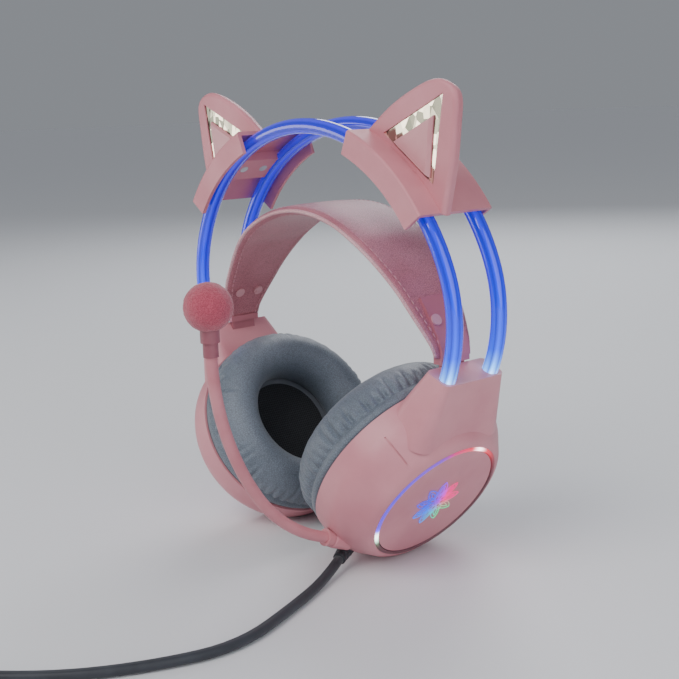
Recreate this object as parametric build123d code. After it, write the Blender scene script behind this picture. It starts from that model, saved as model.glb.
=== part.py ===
# Gaming headset with cat-ear saddles, two lit hoop tubes and a lit outer ring on each cup.
# Millimetres. +X is the wearer's left (microphone side), the wearer faces -Y, +Z is up.
# The headset stands on the lower rims of its two cup shells, at Z = 0.
from math import cos, sin, tan, pi, radians, sqrt, atan2
from build123d import *
import os

os.makedirs("parts", exist_ok=True)

# ---- overall sizes -------------------------------------------------------
head_y = 30.24             # where the head's middle plane stands, so that the origin is under the box
stand_rise = 0.35          # lifts the cut flats of the cups onto the table
hoop_centre_height = 119.6
hoop_top = 81.6            # above the hoop centre
crown_radius = 101.9
crown_turn = 34.6          # degrees, from the top to the shoulder
shoulder_radius = 90.1
shoulder_turn = 34.0
side_radius = 62.7
side_turn = 44.8
tube_radius = 3.6
tube_bore_radius = 2.2
tube_clearance = 0.05
tube_seat_depth = 10.0     # length of tube inside the neck
tube_half_spacing = 13.15  # at the necks
tube_splay = 0.95          # degrees that each tube leans apart from the other
core_radius = 2.0
hoop_crown_z = hoop_top + hoop_centre_height

cup_tilt = 32.8            # the outer face of a cup looks this far down
face_centre_x = 67.6
face_centre_z = 31.1

# ---- cup stack, measured inward from the outer face ----------------------
lip_radius = 34.0
bowl_radius = 47.3
bowl_shoulder_depth = 19.5
cup_depth = 27.7
wall = 2.4
ring_width = 1.8
ring_gap = 0.1
ring_proud = 0.5
plate_gap = 0.3
plate_radius = lip_radius - ring_gap - ring_width - plate_gap
plate_thickness = 2.2
board_seat = 5.0
board_thickness = 1.6
baffle_thickness = 2.5
baffle_seat_radius = bowl_radius - 1.2
driver_radius = 26.5
driver_cone_radius = 22.5
driver_flange = 2.5
magnet_radius = 11.0
magnet_thickness = 6.0
cloth_radius = 25.0
cloth_thickness = 1.0
petal_count = 6
petal_radius = 5.6
petal_offset = 7.4
petal_line = 0.8
emblem_hub_radius = 2.6
emblem_stem_radius = 2.2
emblem_proud = 0.6
wire_hole = 4.0
screw_radius = 1.1
screw_head_radius = 2.2
screw_head = 1.3
screw_length = 9.0
post_angles = (35, 95, -35, -165)
post_radius = bowl_radius - 7.3
post_thick = 2.8
post_start = 10.0
board_lap = 2.0            # how far the lamp board reaches past the lip
board_gap = 1.2            # between the lamp board and the screw posts
board_radius = min(lip_radius + board_lap, post_radius - post_thick - board_gap)
cushion_radius = bowl_radius - 0.3
cushion_hole_radius = 24.0
cushion_height = 26.2
shoulder_depth = 5.0
shoulder_reach = 6.4       # from the lip out to the bowl's shoulder
groove_angle = 44.0        # a fine moulded line down the bowl in front of the neck
groove_start = 5.0
groove_end = 18.0
groove_width = 0.8
groove_depth = 0.6

# ---- neck ----------------------------------------------------------------
neck_top_thick = 13.6
neck_top_width = 36.0
neck_foot_thick = 26.0
neck_foot_width = 54.0
neck_top_offset = -2.2     # the top face centre, inward of the hoop line
neck_foot_x = 72.5
neck_foot_z = 68.0
neck_wall = 2.2
neck_top_corner = 3.0
neck_foot_corner = 8.0
neck_solid = 13.0
cap_thickness = 1.6
cap_inset = 0.8

# ---- saddles and ears ----------------------------------------------------
saddle_start = 22.5        # turn of the hoop at the inner and outer saddle ends
saddle_end = 55.0
saddle_front = -23.5
saddle_rear = 20.4
saddle_wall = 2.0
saddle_rear_wall = 1.6
saddle_gap = 0.6           # between a tube and the saddle roof
saddle_round = 1.2
front_skirt_drop = 5.0
rear_skirt_drop = 7.0
clamp_start = 33.0
clamp_end = 43.0
clamp_half_width = 17.6
clamp_drop = 0.6           # how far the clamp reaches below the middle of the tubes
clamp_screw_y = 6.0
ear_taper = 1.5
ear_front = -11.1
ear_back = -5.1
ear_front_round = 2.0
ear_back_round = 1.8
# An ear's outline: X, height over the hoop's crown, and how each shrinks with the outline's inset.
ear_points = [
    (37.0, -3.2, 2.2, -1.0),
    (55.0, 8.6, 1.0, -1.2),
    (71.5, 15.8, 0.4, -1.2),
    (86.5, 18.2, -0.5, -1.4),
    (94.4, 13.4, -1.0, -1.0),
    (95.0, 1.8, -1.0, 0.0),
    (92.6, -16.2, -1.0, 0.0),
    (87.5, -38.2, -1.0, 0.0),
]
ear_foot = (62.0, -25.2)
mirror_thickness = 1.0
mirror_depth = 0.6
panel_height = 1.4
mirror_points = [(51.2, -3.9), (88.0, 11.9), (81.3, -25.5)]   # X and height over the hoop's crown
panel_points = [(57.6, -7.6), (82.2, 3.0), (79.2, -22.6)]

# ---- suspension strap ----------------------------------------------------
strap_drop = 38.9          # from the hoop's crown to the strap's crown
strap_top = hoop_crown_z - strap_drop
strap_mid_drop = 37.3      # from the strap's crown to where its middle width is measured
strap_crown_radius = 76.0
strap_crown_turn = 43.0
strap_side_radius = 130.0
strap_side_turn = 19.0
strap_end_radius = 12.0
strap_tail = 0.8
strap_thickness = 3.2
strap_end_half_width = 10.0
strap_mid_half_width = 16.6
strap_top_half_width = 22.8
slider_thickness = 1.6
slider_half_width = 7.0
slider_foot_z = neck_foot_z + 2.0
slider_clearance = 0.25
tongue_thickness = 1.4
tongue_half_width = 8.6
rivet_radius = 1.5
rivet_head_radius = 2.6
rivet_head = 0.8
rivet_gap = 0.06
rivet_offset = 5.8
rivet_turn = 58.0
tongue_turn = 53.0
clip_height = 3.0
clip_thickness = 5.0

# ---- microphone ----------------------------------------------------------
socket_x = 41.5
socket_y = -39.0
socket_z = 17.0
socket_rise = 22.0         # degrees that the socket looks up
socket_radius = 4.4
socket_tip = 2.5
socket_root = 8.0          # how far the boss reaches down into the wall
collar_radius = 4.0
collar_length = 3.5
boom_radius = 2.6
boom_first_radius = 70.0
boom_first_turn = 35.0
boom_second_radius = 118.0
boom_second_turn = 33.0
boom_straight = 3.5
pivot_radius = 2.0
pivot_length = 4.0
capsule_radius = 4.0
capsule_length = 18.0
capsule_neck_radius = 3.2
capsule_neck_length = 6.0
foam_radius = 10.0
foam_centre_rise = 20.0

# ---- controls on the microphone side -------------------------------------
wheel_radius = 8.0
wheel_thickness = 4.0
wheel_proud = 2.2
wheel_angle = -100.0
wheel_depth = 22.0
wheel_notches = 24
board_rim_radius = bowl_radius - 3.1
switch_top = bowl_radius - 5.0
axle_radius = 1.5
axle_clearance = 0.06
mute_angle = -128.0
mute_radius = 2.4
mute_flange = 0.6
mute_clearance = 0.15
mute_proud = 1.6
mute_travel = 0.8

# ---- cord ----------------------------------------------------------------
cord_diameter = 4.6
cord_rest = 2.35           # height of the cord's middle on the table
relief_base_radius = 4.3
relief_tip_radius = 3.0
relief_length = 16.0
relief_clearance = 0.05
coil_mean_radius = 26.0
coil_columns = 6
coil_layers = 2
tie_thickness = 1.0
tie_width = 9.0
tie_angle = 60.0
tail_length = 20.0
tail_height = 4.2
plug_length = 30.0
plug_width = 15.6
plug_thickness = 8.0
plug_shell_length = 12.0
plug_shell_width = 12.0
plug_shell_thickness = 4.5

# The cord's route, from the tip of the strain relief to the coil.
cord_route = [
    (40.5, -5.89, 6.2),
    (47.0, -19.59, cord_rest),
    (59.0, -45.89, cord_rest),
    (73.5, -84.39, cord_rest),
    (64.0, -117.39, cord_rest),
    (45.5, -150.39, cord_rest),
    (13.0, -181.39, cord_rest),
    (-11.0, -199.39, cord_rest),
]

nodes = {}

# ---- frames --------------------------------------------------------------
tilt_cos = cos(radians(cup_tilt))
tilt_sin = sin(radians(cup_tilt))
cup_plane = Plane(origin=(face_centre_x, 0, face_centre_z), x_dir=(tilt_sin, 0, tilt_cos),
                  z_dir=(tilt_cos, 0, -tilt_sin))


def in_cup(part):
    """Places a part drawn in the cup's own frame: X up the face, Y forward, Z outward."""
    return cup_plane.location * part


def other_side(part):
    return mirror(part, about=Plane.YZ)


def ring(outer, inner, near, far):
    """A washer in the cup frame between two depths below the outer face."""
    height = far - near
    body = Pos(0, 0, -near - height / 2) * Cylinder(outer, height)
    if inner > 0:
        body -= Pos(0, 0, -near - height / 2) * Cylinder(inner, height + 1)
    return body


def at_angle(radius, angle, depth):
    """A place in the cup frame: angle 0 is the top of the cup, 90 its front."""
    return Pos(radius * cos(radians(angle)), radius * sin(radians(angle)), -depth)


def hoop_place(offset, turn):
    """The point (x, z) of the hoop line moved outward by offset, at a turn from the top in degrees."""
    x, z = 0.0, hoop_crown_z
    done = 0.0
    for radius, stretch in ((crown_radius, crown_turn), (shoulder_radius, shoulder_turn),
                            (side_radius, side_turn)):
        here = min(stretch, turn - done)
        x += radius * (sin(radians(done + here)) - sin(radians(done)))
        z += radius * (cos(radians(done + here)) - cos(radians(done)))
        done += here
        if done >= turn:
            break
    return x + offset * sin(radians(turn)), z + offset * cos(radians(turn))


def hoop_arcs(offset, start, end):
    """Tangent arcs along the offset hoop line between two turns, as edges in X and Z."""
    joins = [crown_turn, crown_turn + shoulder_turn]
    turns = [start] + [turn for turn in joins if start < turn < end] + [end]
    edges = []
    for first, last in zip(turns, turns[1:]):
        middle = (first + last) / 2
        edges.append(ThreePointArc(*[hoop_place(offset, turn) for turn in (first, middle, last)]))
    return edges


def slab(edges, y_from, y_to):
    """A closed outline in X and Z, made solid between two Y positions."""
    face = make_face(edges)
    return extrude(Plane.XZ.offset(-y_to) * face, amount=y_to - y_from)


def hoop_band(inner, outer, start, end, y_from, y_to):
    """A curved slab that follows the hoop between two offsets, two turns and two Y positions."""
    edges = hoop_arcs(inner, start, end) + hoop_arcs(outer, start, end)
    edges += [Line(hoop_place(inner, turn), hoop_place(outer, turn)) for turn in (start, end)]
    return slab(edges, y_from, y_to)


hoop_turn = crown_turn + shoulder_turn + side_turn
hoop_end_x, hoop_end_z = hoop_place(0, hoop_turn)
down_x, down_z = cos(radians(hoop_turn)), -sin(radians(hoop_turn))   # along the tube, downward
out_x, out_z = sin(radians(hoop_turn)), cos(radians(hoop_turn))      # away from the head
neck_top = Plane(origin=(hoop_end_x + out_x * neck_top_offset, 0, hoop_end_z + out_z * neck_top_offset),
                 x_dir=(out_x, 0, out_z), z_dir=(-down_x, 0, -down_z))
neck_lean = atan2(neck_top.origin.X - neck_foot_x, neck_top.origin.Z - neck_foot_z)
neck_foot = Plane(origin=(neck_foot_x, 0, neck_foot_z), x_dir=(cos(neck_lean), 0, -sin(neck_lean)),
                  z_dir=(sin(neck_lean), 0, cos(neck_lean)))


# ---- hoop tubes ----------------------------------------------------------
def splay(part, side):
    """Leans a tube away from the other one about the line through the neck tops."""
    hinge = Axis((0, side * tube_half_spacing, hoop_end_z), (1, 0, 0))
    return part.rotate(hinge, -side * tube_splay)


def hoop_rod(radius, side):
    """A round rod along the whole hoop, with its straight ends inside the necks."""
    right = hoop_arcs(0, 0, hoop_turn)
    end = (hoop_end_x, hoop_end_z)
    seat = (end[0] + down_x * tube_seat_depth, end[1] + down_z * tube_seat_depth)
    right.append(Line(end, seat))
    path = Plane.XZ.offset(-side * tube_half_spacing) * Wire(right)
    crown = (0, side * tube_half_spacing, hoop_crown_z)
    section = Plane(origin=crown, z_dir=(1, 0, 0)) * Circle(radius)
    half = sweep(section, path)
    return half + mirror(half, about=Plane.YZ)


def make_hoops():
    for name, side in (("front", -1), ("rear", 1)):
        tube = hoop_rod(tube_radius, side) - hoop_rod(tube_bore_radius, side)
        nodes["hoop_tube_" + name] = splay(tube, side)
        nodes["hoop_light_core_" + name] = splay(hoop_rod(core_radius, side), side)


# ---- cup shell -----------------------------------------------------------
def bowl(inset):
    """The round bowl of a cup as a solid of revolution, made smaller by inset."""
    front = -inset
    shoulder = (lip_radius + shoulder_reach - inset * 0.9, -shoulder_depth - inset * 0.8)
    widest = (bowl_radius - inset, -bowl_shoulder_depth)
    curve = Spline((lip_radius + 0.6 - inset * 0.3, front), shoulder, widest,
                   tangents=[(1, -0.25), (0, -1)])
    edges = [
        curve,
        Line(curve @ 1, (bowl_radius - inset, -cup_depth)),
        Line((bowl_radius - inset, -cup_depth), (0, -cup_depth)),
        Line((0, -cup_depth), (0, front)),
        Line((0, front), curve @ 0),
    ]
    return revolve(Plane.XZ * make_face(edges), Axis.Z, 360)


def neck_block(inset):
    """The block between the bowl and the hoop ends."""
    top = Rectangle(neck_top_thick - 2 * inset, neck_top_width - 2 * inset)
    foot = Rectangle(neck_foot_thick - 2 * inset, neck_foot_width - 2 * inset)
    top = fillet(top.vertices(), neck_top_corner)
    foot = fillet(foot.vertices(), neck_foot_corner)
    return loft([neck_top * top, neck_foot * foot])


def cup_slice(near, far):
    """A wide flat slab in world space between two depths of the cup."""
    return in_cup(Pos(0, 0, -(near + far) / 2) * Box(240, 240, far - near))


def cap_solid():
    """The plate that closes the top of a neck around the two tubes."""
    plate = Rectangle(neck_top_thick - 2 * cap_inset, neck_top_width - 2 * cap_inset)
    plate = extrude(neck_top.offset(-cap_thickness) * fillet(plate.vertices(), 2.0), amount=cap_thickness)
    return plate


def tube_bores():
    """The two round seats of the tubes in a neck, and the wire holes under them."""
    bores = Part()
    for side in (-1, 1):
        mouth = 2.0
        depth = tube_seat_depth + neck_solid
        seat = hoop_end_x, side * tube_half_spacing, hoop_end_z
        axis_plane = Plane(origin=seat, z_dir=(down_x, 0, down_z))
        bore = axis_plane.location * Pos(0, 0, (tube_seat_depth - mouth) / 2)
        bore = bore * Cylinder(tube_radius + tube_clearance, tube_seat_depth + mouth)
        wire = axis_plane.location * Pos(0, 0, depth / 2) * Cylinder(1.0, depth)
        bores += splay(bore + wire, side)
    return bores


def strap_slot():
    """The upright guide of a strap slider through a neck."""
    width = 2 * (slider_half_width + slider_clearance)
    thick = slider_thickness + 2 * slider_clearance
    low = slider_foot_z - 1.5
    high = hoop_end_z + 8
    return Pos(slider_x, 0, (low + high) / 2) * Box(thick, width, high - low)


def in_neighbourhood(angle, depth, radius, part):
    """Puts a part that is drawn along X at a radius, an angle and a depth of the cup."""
    return Pos(0, 0, -depth) * Rot(0, 0, angle) * Pos(radius, 0, 0) * part


def screw_posts(far):
    posts = Part()
    for angle in post_angles:
        height = far - post_start
        posts += at_angle(post_radius, angle, post_start + height / 2) * Cylinder(post_thick, height)
    return posts


def screw_holes(radius, near, far):
    holes = Part()
    for angle in post_angles:
        holes += at_angle(post_radius, angle, (near + far) / 2) * Cylinder(radius, far - near)
    return holes


def groove():
    """The fine line that runs down the bowl in front of the neck."""
    length = groove_end - groove_start
    strip = in_neighbourhood(groove_angle, groove_start + length / 2, bowl_radius, Box(40, groove_width, length))
    return strip & bowl(0) - bowl(groove_depth)


def under_table():
    """Everything below the table, so that each cup stands on a small flat."""
    return Pos(0, 0, -stand_rise) * Box(240, 240, 20, align=(Align.CENTER, Align.CENTER, Align.MAX))


def make_shell():
    """The moulded cup shell with its neck, open at the face and at the rim."""
    baffle_seat = cup_depth - baffle_thickness
    outer = in_cup(bowl(0)) + neck_block(0) & cup_slice(-20, cup_depth)
    room = bowl(wall) & Pos(0, 0, -(board_seat + baffle_seat) / 2) * Box(200, 200, baffle_seat - board_seat)
    room -= screw_posts(baffle_seat)
    neck_room = neck_block(neck_wall) & cup_slice(board_seat + board_thickness + 0.4, baffle_seat - 0.6)
    neck_room -= neck_top.location * Pos(0, 0, -neck_solid / 2) * Box(60, 60, neck_solid)
    shell = outer - in_cup(room) - neck_room
    shell -= in_cup(ring(lip_radius, 0, -1, board_seat + 1))
    shell -= in_cup(ring(baffle_seat_radius, 0, baffle_seat, cup_depth + 1))
    shell -= in_cup(screw_holes(screw_radius, baffle_seat - screw_length, baffle_seat))
    shell -= in_cup(groove())
    return shell - cap_solid() - tube_bores() - strap_slot()


def make_face_parts():
    """What closes the outer face of a cup: plate, lit ring, emblem and the board behind them."""
    plate = ring(plate_radius, 0, 0, plate_thickness)
    plate += ring(plate_radius - 2.0, plate_radius - 4.6, plate_thickness, board_seat)
    plate -= ring(emblem_stem_radius + 0.1, 0, -1, plate_thickness + 1)
    light = ring(lip_radius - ring_gap, lip_radius - ring_gap - ring_width, -ring_proud, board_seat)
    light = fillet(light.edges().group_by(Axis.Z)[-1], 0.5)
    board = ring(board_radius, 0, board_seat, board_seat + board_thickness)
    board -= Pos(0, 0, -board_seat) * Box(wire_hole, wire_hole, 8)
    return plate, light, board


def make_emblem():
    """A plain rosette of thin rings, all one piece with the stem that feeds it light."""
    petals = Part()
    for number in range(petal_count):
        petal = Pos(petal_offset, 0, 0) * ring(petal_radius, petal_radius - petal_line, -emblem_proud, 0)
        petals += Rot(0, 0, 360 * number / petal_count) * petal
    hub = ring(emblem_hub_radius, 0, -emblem_proud, 0)
    stem = ring(emblem_stem_radius, 0, 0, board_seat)
    return petals + hub + stem


def make_baffle():
    """The inner plate of a cup with sound holes over the driver and screw seats round it."""
    near = cup_depth - baffle_thickness
    plate = ring(baffle_seat_radius, 0, near, cup_depth)
    holes = Part()
    for count, radius in ((1, 0), (6, 7.0), (12, 14.0)):
        for number in range(count):
            holes += at_angle(radius, 360 * number / count, near + baffle_thickness / 2) * Cylinder(1.8, 6)
    plate -= holes
    plate -= screw_holes(screw_radius + 0.15, near - 1, cup_depth + 1)
    plate -= screw_holes(screw_head_radius + 0.1, cup_depth - screw_head, cup_depth + 1)
    return plate


def make_baffle_screws():
    screws = Part()
    for angle in post_angles:
        head = at_angle(post_radius, angle, cup_depth - screw_head / 2) * Cylinder(screw_head_radius, screw_head)
        shaft_length = screw_length + baffle_thickness - screw_head - 0.5
        middle = cup_depth - screw_head - shaft_length / 2
        shaft = at_angle(post_radius, angle, middle) * Cylinder(screw_radius, shaft_length)
        screws += head + shaft
    return screws


def make_driver():
    """The loudspeaker of a cup: basket, magnet and diaphragm."""
    flange_far = cup_depth - baffle_thickness
    flange_near = flange_far - driver_flange
    flange = ring(driver_radius, driver_cone_radius, flange_near, flange_far)
    cone_height = 4.0
    basket = Pos(0, 0, -flange_near + cone_height / 2) * Cone(driver_radius, magnet_radius + 2, cone_height)
    basket -= Pos(0, 0, -flange_near + cone_height / 2) * Cone(driver_cone_radius, magnet_radius, cone_height)
    frame = flange + basket
    frame += ring(magnet_radius + 2, 0, flange_near - cone_height - 1.2, flange_near - cone_height)
    magnet_far = flange_near - cone_height - 1.2
    magnet = ring(magnet_radius, 0, magnet_far - magnet_thickness, magnet_far)
    dome = ring(driver_cone_radius, 0, flange_near + 0.6, flange_near + 1.2)
    dome += ring(magnet_radius, 0, flange_near - 0.4, flange_near + 0.6)
    return frame, magnet, dome


def make_cushion():
    """The soft ring that seals round the ear, with its plain moulded section."""
    low, high = -cup_depth, -cup_depth - cushion_height
    section = [
        Line((cushion_hole_radius + 1.5, low), (cushion_radius - 1.0, low)),
        Line((cushion_radius - 1.0, low), (cushion_radius, low - 4)),
        Line((cushion_radius, low - 4), (cushion_radius, low - 15)),
        ThreePointArc((cushion_radius, low - 15), (42.6, high + 3.4), (36.0, high)),
        Line((36.0, high), (34.0, high)),
        ThreePointArc((34.0, high), (27.6, high + 3.0), (cushion_hole_radius, high + 10)),
        Line((cushion_hole_radius, high + 10), (cushion_hole_radius + 1.5, low)),
    ]
    return revolve(Plane.XZ * make_face(section), Axis.Z, 360)


# ---- saddles and ears ----------------------------------------------------
roof_low = tube_radius + saddle_gap
roof_high = roof_low + saddle_wall


def on_roof_rim(edge, outline):
    """True for the long outer edges of a saddle's roof, along its front and its rear."""
    middle = edge @ 0.5
    level = abs(edge.tangent_at(0.5).Y) < 1e-3
    at_side = min(abs(middle.Y - saddle_front), abs(middle.Y - saddle_rear)) < 1e-3
    near = min(arc.distance_to(Vector(middle.X, middle.Z, 0)) for arc in outline)
    return level and at_side and near < 1e-2


def make_saddle():
    """A channel over both tubes, open underneath, with screw seats in its roof."""
    saddle = hoop_band(roof_low, roof_high, saddle_start, saddle_end, saddle_front, saddle_rear)
    saddle += hoop_band(-front_skirt_drop, roof_low, saddle_start, saddle_end, saddle_front,
                        saddle_front + saddle_wall)
    saddle += hoop_band(-rear_skirt_drop, roof_low, saddle_start, saddle_end,
                        saddle_rear - saddle_rear_wall, saddle_rear)
    outline = hoop_arcs(roof_high, saddle_start, saddle_end)
    rims = [edge for edge in saddle.edges() if on_roof_rim(edge, outline)]
    return fillet(rims, saddle_round)


def clamp_screws(radius, low, high):
    """Cylinders along the two clamp screws, between two offsets from the hoop line."""
    turn = (clamp_start + clamp_end) / 2
    x, z = hoop_place((low + high) / 2, turn)
    across = Plane(origin=(x, 0, z), z_dir=(sin(radians(turn)), 0, cos(radians(turn))))
    screws = Part()
    for y in (-clamp_screw_y, clamp_screw_y):
        screws += Pos(0, y, 0) * across.location * Cylinder(radius, high - low)
    return screws


def make_clamp():
    """The bar under a saddle's roof that seats on both tubes."""
    bar = hoop_band(-clamp_drop, roof_low, clamp_start, clamp_end, -clamp_half_width, clamp_half_width)
    for side in (-1, 1):
        bar -= splay(hoop_rod(tube_radius + tube_clearance, side), side)
    bar -= clamp_screws(screw_radius, -clamp_drop - 1, roof_low + 1)
    bar -= clamp_screws(screw_head_radius + 0.1, -clamp_drop - 1, -clamp_drop + screw_head)
    return bar


def ear_outline(inset):
    """The outline of an ear in X and Z, made smaller by inset."""
    points = [(x + inset * shrink_x, hoop_crown_z + z + inset * shrink_z)
              for x, z, shrink_x, shrink_z in ear_points]
    edge = Spline(points)
    foot = (ear_foot[0], hoop_crown_z + ear_foot[1])
    return [edge, Line(edge @ 1, foot), Line(foot, edge @ 0)]


def rounded_rim(ear, face, radius):
    """Rounds the curved edge of an ear's front or back face."""
    rim = max(face.edges(), key=lambda edge: edge.length)
    return fillet([rim], radius)


def make_ear():
    """The flat ear on a saddle, with its rims rounded in front and behind."""
    front = Plane.XZ.offset(-ear_front) * make_face(ear_outline(0))
    back = Plane.XZ.offset(-ear_back) * make_face(ear_outline(ear_taper))
    ear = loft([front, back])
    ear = rounded_rim(ear, ear.faces().sort_by(Axis.Y)[0], ear_front_round)
    ear = rounded_rim(ear, ear.faces().sort_by(Axis.Y)[-1], ear_back_round)
    ear -= hoop_band(-40, roof_high, 5, 80, -40, 40)
    return max(ear.solids(), key=lambda solid: solid.volume)


def over_crown(points):
    """A closed outline whose heights are measured from the hoop's crown."""
    return Polyline([(x, hoop_crown_z + z) for x, z in points], close=True).edges()


def mirror_outer():
    return over_crown(mirror_points)


def panel_outline(inset):
    (x1, z1), (x2, z2), (x3, z3) = panel_points
    return over_crown([(x1 + inset, z1), (x2 - inset, z2 - inset), (x3 - inset, z3 + inset)])


def make_ear_inlays(ear):
    """Cuts the seat of the bright V in the ear's face and makes the V and the raised panel."""
    seat = slab(mirror_outer(), ear_front - 1, ear_front + mirror_depth + mirror_thickness)
    seat -= slab(panel_outline(0), ear_front - 2, ear_front + 4)
    vee = seat & slab(mirror_outer(), ear_front + mirror_depth, ear_front + mirror_depth + mirror_thickness)
    vee = max(vee.solids(), key=lambda solid: solid.volume)
    base = Plane.XZ.offset(-ear_front) * make_face(panel_outline(0))
    top = Plane.XZ.offset(-ear_front + panel_height) * make_face(panel_outline(panel_height))
    panel = loft([base, top])
    return ear - seat, vee, panel


# ---- suspension strap ----------------------------------------------------
def strap_place(offset, turn):
    """The point (x, z) of the strap's middle line, moved outward by offset, at a turn from the top."""
    x, z = 0.0, strap_top
    done = 0.0
    last = 90.0 - strap_crown_turn - strap_side_turn
    for radius, stretch in ((strap_crown_radius, strap_crown_turn), (strap_side_radius, strap_side_turn),
                            (strap_end_radius, last)):
        here = min(stretch, turn - done)
        x += radius * (sin(radians(done + here)) - sin(radians(done)))
        z += radius * (cos(radians(done + here)) - cos(radians(done)))
        done += here
        if done >= turn - 1e-9:
            break
    return x + offset * sin(radians(turn)), z + offset * cos(radians(turn))


def strap_arcs(offset, start, end):
    joins = [strap_crown_turn, strap_crown_turn + strap_side_turn]
    turns = [start] + [turn for turn in joins if start < turn < end] + [end]
    edges = []
    for first, last in zip(turns, turns[1:]):
        middle = (first + last) / 2
        edges.append(ThreePointArc(*[strap_place(offset, turn) for turn in (first, middle, last)]))
    return edges


slider_x, strap_end_z = strap_place(0, 90)
strap_foot_z = strap_end_z - strap_tail


def strap_plan():
    """The strap's outline seen from the side of the head: wide over the crown, narrow at the ends."""
    low = strap_foot_z - 1
    rear = Spline([(strap_end_half_width, low), (strap_mid_half_width, strap_top - strap_mid_drop),
                   (strap_top_half_width, strap_top - 4.0), (strap_top_half_width, strap_top + 6.0)])
    front = Spline([(-strap_end_half_width, low), (-strap_mid_half_width, strap_top - strap_mid_drop),
                    (-strap_top_half_width, strap_top - 4.0), (-strap_top_half_width, strap_top + 6.0)])
    face = make_face([rear, front, Line(rear @ 0, front @ 0), Line(rear @ 1, front @ 1)])
    return extrude(Plane.YZ.offset(-120) * face, amount=240)


def strap_half(inner, outer, start, y):
    """Half of a slab along the strap between two offsets, from a turn down to the strap's foot."""
    ends = []
    for offset in (inner, outer):
        x, z = strap_place(offset, 90)
        ends.append(((x, z), (x, strap_foot_z)))
    edges = strap_arcs(inner, start, 90) + strap_arcs(outer, start, 90)
    edges += [Line(*end) for end in ends]
    edges += [Line(ends[0][1], ends[1][1]), Line(strap_place(inner, start), strap_place(outer, start))]
    return slab(edges, -y, y)


def rivet_parts(radius, low, high):
    """Cylinders through the strap at the two rivets of the +X end, between two offsets."""
    turn = rivet_turn
    x, z = strap_place((low + high) / 2, turn)
    across = Plane(origin=(x, 0, z), z_dir=(sin(radians(turn)), 0, cos(radians(turn))))
    parts = Part()
    for y in (-rivet_offset, rivet_offset):
        parts += Pos(0, y, 0) * across.location * Cylinder(radius, high - low)
    return parts


def make_strap():
    """The padded band, its two sliders and the rivets that join them."""
    half = strap_thickness / 2
    band = strap_half(-half, half, 0, 40)
    holes = rivet_parts(rivet_radius, -8, 8)
    band = (band - holes) & strap_plan()
    band = band + other_side(band)
    tongue = strap_half(half, half + tongue_thickness, tongue_turn, tongue_half_width) - holes
    clip = Pos(slider_x, 0, strap_foot_z - clip_height / 2) * Box(clip_thickness, 2 * tongue_half_width,
                                                                 clip_height)
    clip += Pos(slider_x + half + tongue_thickness / 2, 0, strap_foot_z) * Box(tongue_thickness,
                                                                              2 * tongue_half_width, 1.0)
    blade_top = strap_foot_z - clip_height
    blade = Pos(slider_x, 0, (blade_top + slider_foot_z) / 2) * Box(slider_thickness, 2 * slider_half_width,
                                                                   blade_top - slider_foot_z)
    slider = tongue + clip + blade
    rivets = rivet_parts(rivet_radius, -half, half + tongue_thickness)
    rivets += rivet_parts(rivet_head_radius, half + tongue_thickness, half + tongue_thickness + rivet_head)
    rivets += rivet_parts(rivet_radius, -half - rivet_gap, -half)
    rivets += rivet_parts(rivet_head_radius, -half - rivet_gap - rivet_head, -half - rivet_gap)
    return band, slider, rivets


# ---- microphone ----------------------------------------------------------
socket_axis = (0, -cos(radians(socket_rise)), sin(radians(socket_rise)))
socket_plane = Plane(origin=(socket_x, socket_y, socket_z), x_dir=(1, 0, 0), z_dir=socket_axis)


def along_socket(radius, start, end):
    return socket_plane.location * Pos(0, 0, (start + end) / 2) * Cylinder(radius, end - start)


def make_socket():
    boss = along_socket(socket_radius, -socket_root, socket_tip)
    return fillet(boss.edges().sort_by(Axis.Y)[0], 1.2)


def make_boom():
    """The curved boom from its collar up to the capsule."""
    start = (-socket_y + cos(radians(socket_rise)) * (socket_tip + collar_length),
             socket_z + sin(radians(socket_rise)) * (socket_tip + collar_length))
    first_end = socket_rise + boom_first_turn
    x, z = start
    places = [start]
    x += boom_straight * cos(radians(socket_rise))
    z += boom_straight * sin(radians(socket_rise))
    places.append((x, z))
    edges = [Line(places[0], places[1])]
    for radius, first, last in ((boom_first_radius, socket_rise, first_end),
                                (boom_second_radius, first_end, 90)):
        stops = []
        for turn in (first, (first + last) / 2, last):
            stops.append((x + radius * (sin(radians(turn)) - sin(radians(first))),
                          z - radius * (cos(radians(turn)) - cos(radians(first)))))
        edges.append(ThreePointArc(*stops))
        x, z = stops[-1]
    boom_plane = Plane(origin=(socket_x, 0, 0), x_dir=(0, -1, 0), z_dir=(-1, 0, 0))
    path = boom_plane * Wire(edges)
    section = Plane(origin=path @ 0, z_dir=socket_axis) * Circle(boom_radius)
    return sweep(section, path), -x, z


def make_microphone():
    collar = along_socket(collar_radius, socket_tip, socket_tip + collar_length)
    boom, tip_y, tip_z = make_boom()
    boom += along_socket(pivot_radius, socket_tip - pivot_length, socket_tip) + collar
    stem = Pos(socket_x, tip_y, tip_z + capsule_neck_length / 2) * Cylinder(capsule_neck_radius,
                                                                           capsule_neck_length)
    head_low = tip_z + capsule_neck_length
    head = Pos(socket_x, tip_y, head_low + capsule_length / 2) * Cylinder(capsule_radius, capsule_length)
    capsule = stem + fillet(head.edges().sort_by(Axis.Z)[-1], 1.5)
    foam = Pos(socket_x, tip_y, tip_z + foam_centre_rise) * Sphere(foam_radius)
    foam -= Pos(socket_x, tip_y, head_low + capsule_length / 2) * Cylinder(capsule_radius, capsule_length)
    return boom, capsule, foam


# ---- controls ------------------------------------------------------------
wheel_centre_radius = bowl_radius + wheel_proud - wheel_radius


def radial_rod(radius, angle, depth, start, end):
    """A rod that points out of the cup's side wall between two distances from the cup's axis."""
    rod = Rot(0, 90, 0) * Cylinder(radius, end - start)
    return in_neighbourhood(angle, depth, (start + end) / 2, rod)


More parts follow.
